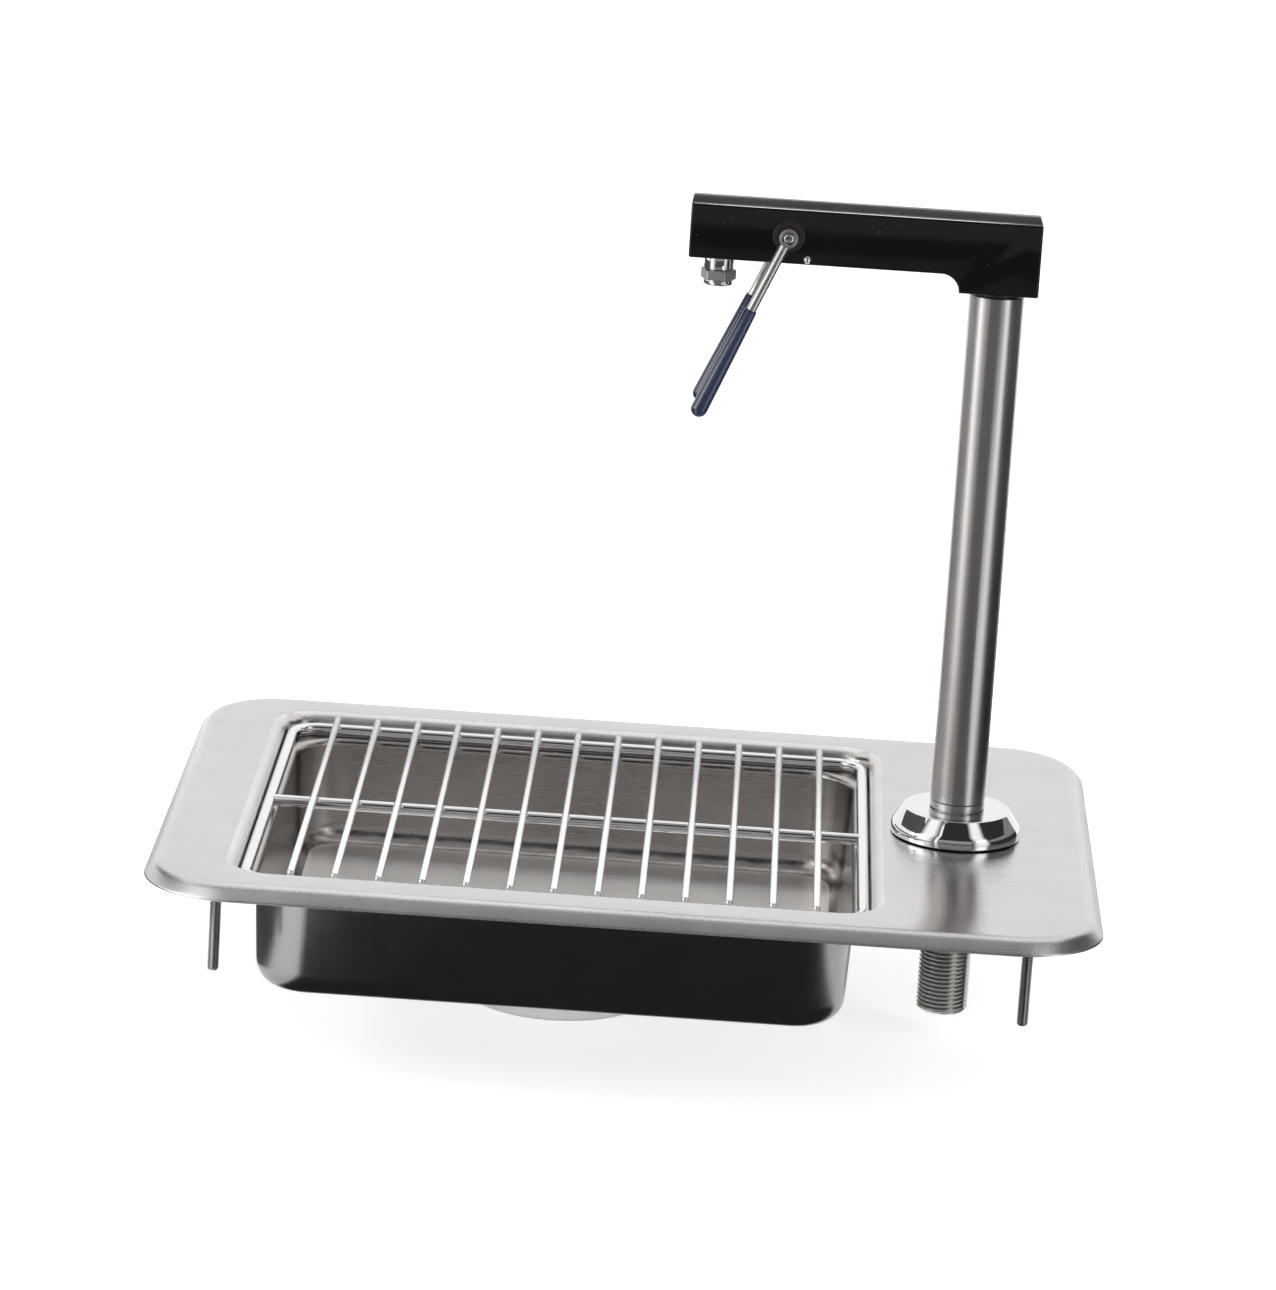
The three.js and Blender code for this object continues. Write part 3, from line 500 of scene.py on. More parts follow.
def turned(corners: Sequence[Corner], closed: bool = True, sides: int = 64,
           steps: int = 5) -> Skin:
    """Turns an outline of radius, height and round about +Z.

    Args:
        corners: the outline's corners. An open outline starts and ends on the axis.
        closed: whether the outline joins up, as a ring's does.
        sides: how many faces go round.
        steps: how many pieces each round has.

    Returns:
        The turned skin.
    """
    outline = rounded(corners, closed, steps)
    rings = []
    for radius, height in outline:
        ring = []
        for i in range(sides):
            angle = 2 * math.pi * i / sides
            ring.append(Vector((radius * math.cos(angle), radius * math.sin(angle), height)))
        rings.append(ring)
    return Skin().rings(rings, row_closed=closed)


def ring_of(box: "NodeBox", inner: float, inner_round: float, outer_round: float,
            sides: int) -> Skin:
    """Turns a plain ring with the height and outer radius of a solid.

    Args:
        box: the solid's box.
        inner: the hole's radius.
        inner_round: the round of the hole's edges.
        outer_round: the round of the outer edges.
        sides: how many faces go round.

    Returns:
        The ring, about the Z axis.
    """
    outer, low, high = box.half.x, box.low.z, box.high.z
    return turned([(inner, low, inner_round), (outer, low, outer_round),
                   (outer, high, outer_round), (inner, high, inner_round)], sides=sides)


def quarter_arc(steps: int) -> list[Point]:
    """Returns the cosine and sine at equal steps through a quarter turn."""
    angles = [step / steps * math.pi / 2 for step in range(steps + 1)]
    return [(math.cos(angle), math.sin(angle)) for angle in angles]


def rounded_rectangle(centre: Point, half: Point, corner: float, level: float,
                      steps: int) -> list[Vector]:
    """Draws a level rectangle with round corners.

    Args:
        centre: its middle.
        half: half its length and half its width.
        corner: the radius of its corners.
        level: its height.
        steps: how many pieces each corner has.

    Returns:
        Its points, anticlockwise from above.
    """
    points = []
    for quarter in range(4):
        sign_x = 1 if quarter in (0, 3) else -1
        sign_y = 1 if quarter < 2 else -1
        for step in range(steps + 1):
            angle = (quarter + step / steps) * math.pi / 2
            x = centre[0] + sign_x * (half[0] - corner) + corner * math.cos(angle)
            y = centre[1] + sign_y * (half[1] - corner) + corner * math.sin(angle)
            points.append(Vector((x, y, level)))
    return points


def prism(outline: Sequence[Point], low: float, high: float) -> Skin:
    """Returns an upright prism over an outline."""
    rings = [[Vector((x, y, level)) for x, y in outline] for level in (low, high)]
    return Skin().rings(rings, capped=True)


def polygon(sides: int, across: float, turn: float = 0, corner: float = 0) -> list[Point]:
    """Draws a regular polygon.

    Args:
        sides: how many sides it has.
        across: its size over the corners.
        turn: the first corner's direction, in radians.
        corner: the radius of its corners.

    Returns:
        Its points.
    """
    points = []
    for i in range(sides):
        angle = turn + 2 * math.pi * i / sides
        points.append((across / 2 * math.cos(angle), across / 2 * math.sin(angle), corner))
    return rounded(points, True, 3)


class Boolean(Enum):
    """What a boolean does with its second shape, by Blender's name for it."""

    CUT = "DIFFERENCE"
    JOIN = "UNION"
    SHARED = "INTERSECT"


def combined(piece: bpy.types.Object, boolean: Boolean, other: Skin) -> bpy.types.Object:
    """Cuts, joins or intersects a piece with a skin.

    Args:
        piece: the object to change.
        boolean: what is done with the skin.
        other: the skin that works on it, in millimetres.

    Returns:
        The same object with a new mesh.
    """
    tool = other.object("tool")
    modifier = piece.modifiers.new("Combine", "BOOLEAN")
    modifier.operation, modifier.solver, modifier.object = boolean.value, "EXACT", tool
    mesh = evaluated_mesh(piece)
    piece.modifiers.remove(modifier)
    bpy.data.objects.remove(tool)
    piece.data = mesh
    tidy(piece.data)
    return piece


class Axis(Enum):
    """An axis that +Z can be laid along, with the axis and the way of the turn that does it."""

    X = ("Y", 1)
    Y = ("X", -1)


def along(axis: Axis, side: float = 1) -> Matrix:
    """Returns the turn that lays +Z along an axis, or along its minus end for side -1."""
    about, way = axis.value
    return Matrix.Rotation(side * way * math.pi / 2, 4, about)


def at(x: float, y: float, z: float) -> Matrix:
    """Returns a move in millimetres."""
    return Matrix.Translation((x, y, z))


@dataclass(frozen=True)
class NodeBox:
    """The box of one of the frame's solids, in millimetres."""

    low: Vector
    high: Vector

    @classmethod
    def of(cls, node: str) -> "NodeBox":
        """Returns the box of a node at rest."""
        low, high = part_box(node)
        return cls(low / MM, high / MM)

    @property
    def centre(self) -> Vector:
        """Returns the middle of the box."""
        return (self.low + self.high) / 2

    @property
    def half(self) -> Vector:
        """Returns half of the box's size."""
        return (self.high - self.low) / 2


# Finishes

class Grain(Enum):
    """The way that brush lines run on a piece."""

    LENGTHWAYS = (70, 3200, 3200)
    ROUND = (60, 60, 3000)
    NONE = (2600, 2600, 2600)


@dataclass(frozen=True)
class Steel:
    """Brushed, satin or drawn stainless steel."""

    name: str
    dark: Sequence[float]
    light: Sequence[float]
    roughness: float
    grain: Grain
    grain_depth: float = 0.00006
    streaks: float = 1.0
    mottle: float = 0.05
    spread: float = 0.0
    spread_turn: float = 0.25
    cloud_scale: float = 38
    broad_by: float = 3
    fine_share: float = 0.55
    streak_contrast: float = 1.7
    cloud_contrast: float = 0.7
    streak_roughness: float = 0.16

    def material(self) -> bpy.types.Material:
        """Mixes the steel with its brush lines and cloudiness.

        A spread draws reflections out along the axis of a turned piece, across its brush lines.

        Returns:
            The material.
        """
        bench = MaterialBench(self.name)
        lines = bench.noise(bench.place(self.grain.value), 1.0, Texture.BRUSHED)
        wider = [scale / self.broad_by for scale in self.grain.value]
        broad = bench.noise(bench.place(wider), 1.0, Texture.BROAD)
        cloud = bench.noise(bench.place(), self.cloud_scale, Texture.CLOUD)
        streak = lines * self.fine_share + broad * (1 - self.fine_share)
        streaked = (streak - MIDDLE) * self.streak_contrast * self.streaks
        shade = (MIDDLE + streaked + (cloud - MIDDLE) * self.cloud_contrast).clamped()
        streak_rough = (streak - MIDDLE) * self.streak_roughness
        rough = self.roughness + streak_rough + (cloud - MIDDLE) * self.mottle * 2
        return bench.surface(
            Base_Color=bench.blend(shade, self.dark, self.light),
            Metallic=1.0,
            Roughness=rough.clamped(),
            Normal=bench.bump(lines, self.grain_depth),
            Anisotropic=self.spread,
            Anisotropic_Rotation=self.spread_turn,
        )


@dataclass(frozen=True)
class Chrome:
    """Polished chrome plate with faint polishing haze."""

    name: str
    colour: Sequence[float]
    roughness: float = 0.05
    ripple: float = 0.00001
    haze_scale: float = 160
    haze_shade: float = 0.94
    haze_roughness: float = 0.05
    wave_scale: float = 60

    def material(self) -> bpy.types.Material:
        """Mixes the plate with soft waves and patches of haze.

        Returns:
            The material.
        """
        bench = MaterialBench(self.name)
        haze = bench.noise(bench.place(), self.haze_scale, Texture.HAZE)
        wave = bench.noise(bench.place(), self.wave_scale, Texture.WAVE)
        darker = [c * self.haze_shade for c in self.colour]
        return bench.surface(
            Base_Color=bench.blend(haze, darker, self.colour),
            Metallic=1.0,
            Roughness=(self.roughness + (haze - MIDDLE) * self.haze_roughness).clamped(),
            Normal=bench.bump(wave, self.ripple),
        )


@dataclass(frozen=True)
class Coating:
    """Paint, vinyl, plastic or rubber, with its own fine texture."""

    name: str
    dark: Sequence[float]
    light: Sequence[float]
    roughness: float
    texture_scale: float
    texture_depth: float
    coat: float = 0.0
    coat_roughness: float = 0.06
    dust: float = 0.0
    dust_scale: float = 620
    dust_colour: Sequence[float] = (0.35, 0.34, 0.32)
    dust_cover: float = 0.1
    dust_roughness: float = 0.2
    cloud_scale: float = 55
    cloud_roughness: float = 0.12

    def material(self) -> bpy.types.Material:
        """Mixes the coating with its orange peel or grain, and dust specks on a gloss one.

        Returns:
            The material.
        """
        bench = MaterialBench(self.name)
        cloud = bench.noise(bench.place(), self.cloud_scale, Texture.SMEAR)
        peel = bench.noise(bench.place(), self.texture_scale, Texture.PEEL)
        colour = bench.blend(cloud, self.dark, self.light)
        rough = self.roughness + (cloud - MIDDLE) * self.cloud_roughness
        if self.dust:
            specks = bench.noise(bench.place(), self.dust_scale, Texture.WAVE)
            fleck = specks.above(MIDDLE + MIDDLE * self.dust)
            values = {0: fleck * self.dust_cover, 6: colour, 7: (*self.dust_colour, 1)}
            colour = bench.node("ShaderNodeMix", {"data_type": "RGBA"}, values, 2)
            rough = rough + fleck * self.dust_roughness
        return bench.surface(
            Base_Color=colour,
            Roughness=rough.clamped(),
            Normal=bench.bump(peel, self.texture_depth),
            Coat_Weight=self.coat,
            Coat_Roughness=self.coat_roughness,
        )


@dataclass(frozen=True)
class Finishes:
    """Every finish of the station, by what it is on."""

    deck: bpy.types.Material
    lip: bpy.types.Material
    bowl: bpy.types.Material
    bowl_floor: bpy.types.Material
    under: bpy.types.Material
    column: bpy.types.Material
    rod: bpy.types.Material
    thread: bpy.types.Material
    turned_steel: bpy.types.Material
    nut_steel: bpy.types.Material
    chrome: bpy.types.Material
    rack: bpy.types.Material
    wire: bpy.types.Material
    brass: bpy.types.Material
    black: bpy.types.Material
    vinyl: bpy.types.Material
    bushing: bpy.types.Material
    neck: bpy.types.Material
    rubber: bpy.types.Material
    pale_plastic: bpy.types.Material

    @classmethod
    def mixed(cls) -> "Finishes":
        """Mixes all the materials once.

        Returns:
            The materials.
        """
        return cls(
            deck=Steel("deck_steel", (0.56, 0.54, 0.532), (0.70, 0.676, 0.668), roughness=0.07,
                       grain=Grain.LENGTHWAYS, grain_depth=0.000045, streaks=0.55).material(),
            lip=Steel("lip_steel", (0.56, 0.545, 0.535), (0.80, 0.785, 0.775), roughness=0.3,
                      grain=Grain.NONE, grain_depth=0.00003, streaks=0.9).material(),
            # The recess and bowl walls are the deck's steel made darker: painted shade in the
            # recess.
            bowl=Steel("bowl_steel_painted_shade", (0.42, 0.395, 0.38), (0.54, 0.515, 0.495), roughness=0.14,
                       grain=Grain.LENGTHWAYS, grain_depth=0.00004, streaks=0.6).material(),
            # The bowl's floor is the pan's steel made lighter: painted light from above.
            bowl_floor=Steel("bowl_floor_steel_painted_light", (0.72, 0.70, 0.685), (0.86, 0.84, 0.825),
                             roughness=0.48, grain=Grain.LENGTHWAYS, grain_depth=0.00004,
                             streaks=0.6).material(),
            # The pan's underside is the same steel made darker: painted shade under the pan.
            under=Steel("under_steel_painted_shade", (0.25, 0.245, 0.24), (0.33, 0.325, 0.32), roughness=0.22,
                        grain=Grain.LENGTHWAYS, grain_depth=0.00002, streaks=0.3,
                        mottle=0.06).material(),
            column=Steel("column_steel", (0.50, 0.485, 0.475), (0.60, 0.58, 0.57), roughness=0.34,
                         grain=Grain.ROUND, grain_depth=0.000006, streaks=0.5,
                         spread=0.9).material(),
            rod=Chrome("prong_steel", (0.56, 0.54, 0.52), roughness=0.3,
                       ripple=0.000004).material(),
            thread=Steel("thread_steel", (0.46, 0.45, 0.44), (0.62, 0.605, 0.59), roughness=0.18,
                         grain=Grain.NONE, grain_depth=0.000004, streaks=0.5).material(),
            turned_steel=Steel("turned_steel", (0.45, 0.44, 0.43), (0.60, 0.585, 0.575),
                               roughness=0.2, grain=Grain.ROUND, grain_depth=0.00002).material(),
            nut_steel=Steel("nut_steel", (0.44, 0.435, 0.44), (0.60, 0.59, 0.60), roughness=0.33,
                            grain=Grain.NONE, grain_depth=0.00003).material(),
            chrome=Chrome("chrome", (0.86, 0.86, 0.87), roughness=0.035).material(),
            rack=Chrome("rack_chrome", (0.90, 0.90, 0.91), roughness=0.06,
                        ripple=0.00002).material(),
            wire=Chrome("wire_chrome", (0.96, 0.96, 0.965), roughness=0.24,
                        ripple=0.00001).material(),
            brass=Steel("brass", (0.42, 0.29, 0.13), (0.66, 0.49, 0.25), roughness=0.3,
                        grain=Grain.ROUND, grain_depth=0.00002).material(),
            black=Coating("gloss_black", (0.0022, 0.0022, 0.0024), (0.0032, 0.0032, 0.0034),
                          roughness=0.1, texture_scale=900, texture_depth=0.0000015,
                          dust=0.6).material(),
            vinyl=Coating("navy_vinyl", (0.015, 0.021, 0.048), (0.022, 0.031, 0.066),
                          roughness=0.14, texture_scale=500, texture_depth=0.000002,
                          coat=0.25).material(),
            bushing=Coating("brown_bushing", (0.010, 0.0065, 0.005), (0.017, 0.011, 0.009),
                            roughness=0.36, texture_scale=800, texture_depth=0.000006).material(),
            neck=Coating("neck_ring", (0.012, 0.011, 0.011), (0.022, 0.020, 0.019), roughness=0.35,
                         texture_scale=900, texture_depth=0.000004).material(),
            rubber=Coating("rubber", (0.012, 0.012, 0.012), (0.026, 0.025, 0.024), roughness=0.75,
                           texture_scale=1200, texture_depth=0.00001).material(),
            pale_plastic=Coating("pale_plastic", (0.72, 0.735, 0.76), (0.80, 0.815, 0.835),
                                 roughness=0.42, texture_scale=700,
                                 texture_depth=0.00001).material(),
        )


# What every sub-assembly does

@dataclass
class SubAssembly:
    """A group of pieces that one class builds and dresses."""

    finishes: Finishes

    def keep(self, piece: bpy.types.Object, body: str, slot: str,
             material: bpy.types.Material | None, *nodes: str) -> bpy.types.Object:
        """Hands a finished piece to the frame.

        Args:
            piece: the finished piece.
            body: the body that it rides on.
            slot: the record's material slot; not used.
            material: its material, or None where it has its own already.
            nodes: the solids that it stands for.

        Returns:
            The piece.
        """
        if material is not None:
            piece.data.materials.clear()
            piece.data.materials.append(material)
        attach(piece, body)
        if nodes:
            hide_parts(*nodes)
        log.info("%s: %d faces on %s", piece.name, len(piece.data.polygons), body)
        return piece

    def dress(self, material: bpy.types.Material, *nodes: str) -> None:
        """Gives a material to solids that stay as they are.

        Args:
            material: the material.
            nodes: the solids' names.
        """
        for name in nodes:
            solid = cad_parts[name]
            for slot in solid.material_slots:
                slot.material = material
            log.info("%s: solid kept and dressed", name)


# Pan

class Outline(Enum):
    """An outline, seen from above, that the sheet's section is counted from."""

    PAN = "pan"
    RECESS = "recess"
    BOWL = "bowl"
    DISH = "dish"
    DRAIN = "drain"


Station = tuple[Outline, float, float, float]


class Area(Enum):
    """A part of the pan with a finish of its own, by its place among the pan's materials."""

    DECK = 0
    LIP = 1
    # the recess and bowl walls: darker steel as painted shade
    BOWL = 2
    # the underside: darker steel as painted shade
    UNDER = 3
    # the bowl's floor: lighter steel as painted light
    BOWL_FLOOR = 4


@dataclass
class Pan(SubAssembly):
    """The drawn steel sheet with its lip, recess, ledge, bowl and dish."""

    corner: float = 35
    sheet: float = 1.2
    lip_inset: float = 5
    lip_foot: float = 0.55
    lip_foot_round: float = 1.3
    lip_roll: float = 7
    deck_left: float = 36.5
    deck_right: float = 91.5
    deck_front: float = 27
    recess_corner: float = 14
    rim_radius: float = 6.2
    ledge_drop: float = 8.4
    ledge_width: float = 7
    ledge_fillet: float = 2
    shoulder_radius: float = 3
    bowl_depth: float = 54
    bowl_corner: float = 22
    bowl_draft: float = 1.6
    bowl_bend: float = 9
    bowl_fall: float = 1
    dish_step: float = 2
    dish_radius: float = 42
    drain_hole: float = 28.3
    shank_hole: float = 10.95
    drill: float = 20
    corner_steps: int = 14
    bend_steps: int = 7
    crease: float = 30
    down: float = -0.2
    up: float = 0.9
    floor_up: float = 0.93
    deck_up: float = 0.97

    def outlines(self) -> dict[Outline, tuple[float, float, float, float]]:
        """Measures the outlines that the sheet's section is counted from.

        Returns:
            Each outline's centre, half length, half depth and corner radius.
        """
        box = NodeBox.of("drip_pan")
        half_x, half_y = box.half.x, box.half.y
        centre = (self.deck_left - self.deck_right) / 2
        recess_x = half_x - (self.deck_left + self.deck_right) / 2
        recess_y = half_y - self.deck_front
        bowl_x, bowl_y = recess_x - self.ledge_width, recess_y - self.ledge_width
        return {
            Outline.PAN: (0, half_x, half_y, self.corner),
            Outline.RECESS: (centre, recess_x, recess_y, self.recess_corner),
            Outline.BOWL: (centre, bowl_x, bowl_y, self.bowl_corner),
            Outline.DISH: (centre, self.dish_radius, self.dish_radius, self.dish_radius),
            Outline.DRAIN: (centre, self.drain_hole, self.drain_hole, self.drain_hole),
        }

    def bend(self, outline: Outline, out: float, z: float, radius: float, start: float,
             end: float, side: int) -> list[Station]:
        """Returns the stations of one bend of the sheet.

        Args:
            outline: the outline that distances are counted from.
            out: how far outside it the bend's centre is.
            z: the centre's height.
            radius: the bend's radius on the upper side.
            start: the upper side's tilt where the bend starts, in degrees from straight up.
            end: its tilt where the bend ends.
            side: 1 about a centre below the sheet, -1 about one above it.

        Returns:
            Outline, distance, height and tilt of each station.
        """
        stations = []
        for step in range(self.bend_steps + 1):
            tilt = start + (end - start) * step / self.bend_steps
            angle = math.radians(tilt)
            stations.append((outline, out + side * radius * math.sin(angle),
                             z + side * radius * math.cos(angle), tilt))
        return stations

    def stations(self) -> list[Station]:
        """Draws the sheet's section from the lip's edge to the drain hole.

        Returns:
            Outline, distance outside it, height and tilt of each station.
        """
        top = NodeBox.of("drip_pan").high.z
        ledge = top - self.ledge_drop
        floor = top - self.bowl_depth
        dish = floor - self.bowl_fall - self.dish_step
        slope = math.atan2(top - self.lip_foot, self.lip_inset)
        foot = self.lip_foot - self.lip_foot_round * math.tan(math.pi / 4 - slope / 2)
        roll = self.lip_inset + self.lip_roll * math.tan(slope / 2)
        bevel = math.degrees(slope)
        return [
            (Outline.PAN, 0, 0, 90),
            *self.bend(Outline.PAN, -self.lip_foot_round, foot, self.lip_foot_round, 90, bevel, 1),
            *self.bend(Outline.PAN, -roll, top - self.lip_roll, self.lip_roll, bevel, 0, 1),
            *self.bend(Outline.RECESS, self.rim_radius, top - self.rim_radius, self.rim_radius,
                       0, -90, 1),
            *self.bend(Outline.RECESS, -self.ledge_fillet, ledge + self.ledge_fillet,
                       self.ledge_fillet, -90, 0, -1),
            *self.bend(Outline.BOWL, self.shoulder_radius, ledge - self.shoulder_radius,
                       self.shoulder_radius, 0, -90, 1),
            *self.bend(Outline.BOWL, -self.bowl_draft - self.bowl_bend, floor + self.bowl_bend,
                       self.bowl_bend, -90, 0, -1),
            (Outline.DISH, self.dish_step, floor - self.bowl_fall, 0),
            (Outline.DISH, 0, dish, 0),
            (Outline.DRAIN, 0, dish, 0),
        ]

    def ring(self, outline: Outline, out: float, z: float) -> list[Vector]:
        """Draws a ring of the sheet.

        Args:
            outline: the outline that it follows.
            out: how far outside it the ring runs.
            z: the ring's height.

        Returns:
            The ring's points.
        """
        centre, half_x, half_y, corner = self.outlines()[outline]
        return rounded_rectangle((centre, 0), (half_x + out, half_y + out), corner + out, z,
                                 self.corner_steps)

    def build(self) -> bpy.types.Object:
        """Makes the sheet as one closed mesh, with the hole for the shank.

        Returns:
            The sheet.
        """
        upper, lower = [], []
        for outline, out, z, tilt in self.stations():
            angle = math.radians(tilt)
            upper.append(self.ring(outline, out, z))
            lower.append(self.ring(outline, out - self.sheet * math.sin(angle),
                                   z - self.sheet * math.cos(angle)))
        skin = Skin().rings(upper + lower[::-1], row_closed=True)
        pan = skin.object("pan_sheet", self.crease)
        filler = NodeBox.of("column_tube").centre
        radius, reach = self.shank_hole, self.drill
        hole = turned([(0, -reach, 0), (radius, -reach, 0), (radius, reach, 0), (0, reach, 0)],
                      closed=False, sides=48)
        return combined(pan, Boolean.CUT, hole.placed(at(filler.x, filler.y, 0)))

    def dress_areas(self, pan: bpy.types.Object) -> None:
        """Gives the deck, lip, bowl and underside their finishes, with painted shade and painted
        light.

        Args:
            pan: the sheet.
        """
        centre, half_x, half_y, _ = self.outlines()[Outline.RECESS]
        mesh = pan.data
        mesh.materials.clear()
        for area in Area:
            mesh.materials.append(getattr(self.finishes, area.name.lower()))
        top = NodeBox.of("drip_pan").high.z
        floor = top - self.bowl_depth + self.bowl_bend / 2
        for face in mesh.polygons:
            middle = face.center / MM
            inside = abs(middle.x - centre) < half_x and abs(middle.y) < half_y
            inward = Vector((middle.x - centre, middle.y, 0)).dot(face.normal) < 0
            buried = middle.z < top - self.ledge_drop - self.sheet / 2
            level = face.normal.z
            area = Area.DECK
            # The underside gets darker steel: painted shade.
            if level < self.down or (buried and not inward and level < self.up):
                area = Area.UNDER
            # The bowl's floor gets lighter steel: painted light.
            elif inside and middle.z < floor and level > self.floor_up:
                area = Area.BOWL_FLOOR
            # The recess and bowl walls get darker steel: painted shade.
            elif inside and middle.z < top - self.ledge_drop / 4:
                area = Area.BOWL
            elif not inside and level < self.deck_up:
                area = Area.LIP
            face.material_index = area.value

    def make(self) -> None:
        """Builds, dresses and hands over the pan."""
        pan = self.build()
        self.dress_areas(pan)
        self.keep(pan, "station", "satin_steel", None, "drip_pan")


# Threads

@dataclass
class Thread:
    """A rod with a screw thread cut on it, as a Geometry Nodes tree."""

    name: str
    axis: Point
    low: float
    high: float
    radius: float
    pitch: float
    depth: float
    chamfer: float
    bore: float = 0.0
    plain_from: float = 1e6
    around: int = 40
    steps_per_turn: int = 8
    end_rows: int = 5
    flat: float = 0.12
    double: float = 0.002

    def build(self, material: bpy.types.Material) -> bpy.types.Object:
        """Makes the threaded rod, which ends in a chamfer at its low end.

        Args:
            material: its material.

        Returns:
            The rod.
        """
        bench = GeometryBench(self.name)
        length = bench.input("Length", float(self.high - self.low))
        radius = bench.input("Radius", float(self.radius))
        pitch = bench.input("Pitch", float(self.pitch))
        depth = bench.input("Depth", float(self.depth))
        chamfer = bench.input("Chamfer", float(self.chamfer))
        bore = bench.input("Bore", float(self.bore))
        plain = bench.input("Plain from", float(self.plain_from - self.low))
        turns = (self.high - self.low) / self.pitch + 1
        rows = int(turns * self.steps_per_turn) + self.end_rows
        count = bench.input("Rows", rows)
        grid = bench.node("GeometryNodeMeshGrid", {},
                          {"Size X": 1.0, "Size Y": 1.0, "Vertices X": self.around + 1,
                           "Vertices Y": count})
        # A grid one unit wide: its x is the share of a turn, its y the row along the section.
        # The first row and the last two lie on the bore, so the section closes on itself.
        x, y, _ = bench.position()
        share = x + 0.5
        upward = (y + 0.5) * (count - 1)
        row = upward.math("ROUND", upward)
        last = count - 2
        climb = ((row - 1) / self.steps_per_turn + share - 1) * pitch
        height = climb.most(0).least(length) * (1 - row.above(last + 0.5))
        wave = ((height / pitch - share).fraction() * 2 - 1).magnitude()
        flank = ((wave - self.flat) / (1 - 2 * self.flat)).clamped()
        fade = ((plain - height) / pitch).clamped()
        thread = radius - depth * (1 - flank) * fade
        limit = radius - chamfer + height
        outer = thread.least(limit)
        wall = row.above(0.5) * (1 - row.above(last - 0.5))
        distance = bore + (outer - bore) * wall
        angle = share * (2 * math.pi)
        place = bench.vector(distance * angle.math("COSINE", angle),
                             distance * angle.math("SINE", angle), height)
        merged = bench.node("GeometryNodeMergeByDistance", {},
                            {"Geometry": bench.reshaped(grid, place), "Distance": self.double})
        return bench.make(self.name, bench.moved(merged, (*self.axis, self.low)), material)


@dataclass
class Studs(SubAssembly):
    """The four clamp studs welded under the pan's corners."""

    places: Sequence[str] = ("front_left", "front_right", "back_right", "back_left")
    radius: float = 2.4
    pitch: float = 1.11
    depth: float = 0.72
    chamfer: float = 0.7
    foot: float = 1.2
    foot_radius: float = 4.2

    def make(self) -> None:
        """Builds each stud as a threaded rod and its welded foot."""
        for place in self.places:
            node = f"mounting_stud_{place}"
            box = NodeBox.of(node)
            x, y = box.centre.x, box.centre.y
            thread = Thread(f"stud_{place}", (x, y), box.low.z, box.high.z - self.foot,
                            self.radius, self.pitch, self.depth, self.chamfer, around=24,
                            steps_per_turn=6)
            stud = thread.build(self.finishes.thread)
            self.keep(stud, "station", "satin_steel", None, node)
            foot = turned([(0, -self.foot, 0), (self.foot_radius, -self.foot, 0.4),
                           (self.foot_radius, 0, 0.1), (0, 0, 0)], closed=False, sides=32)
            ring = foot.placed(at(x, y, box.high.z)).object(f"stud_foot_{place}")
            self.keep(ring, "station", "satin_steel", self.finishes.nut_steel)


# Drain

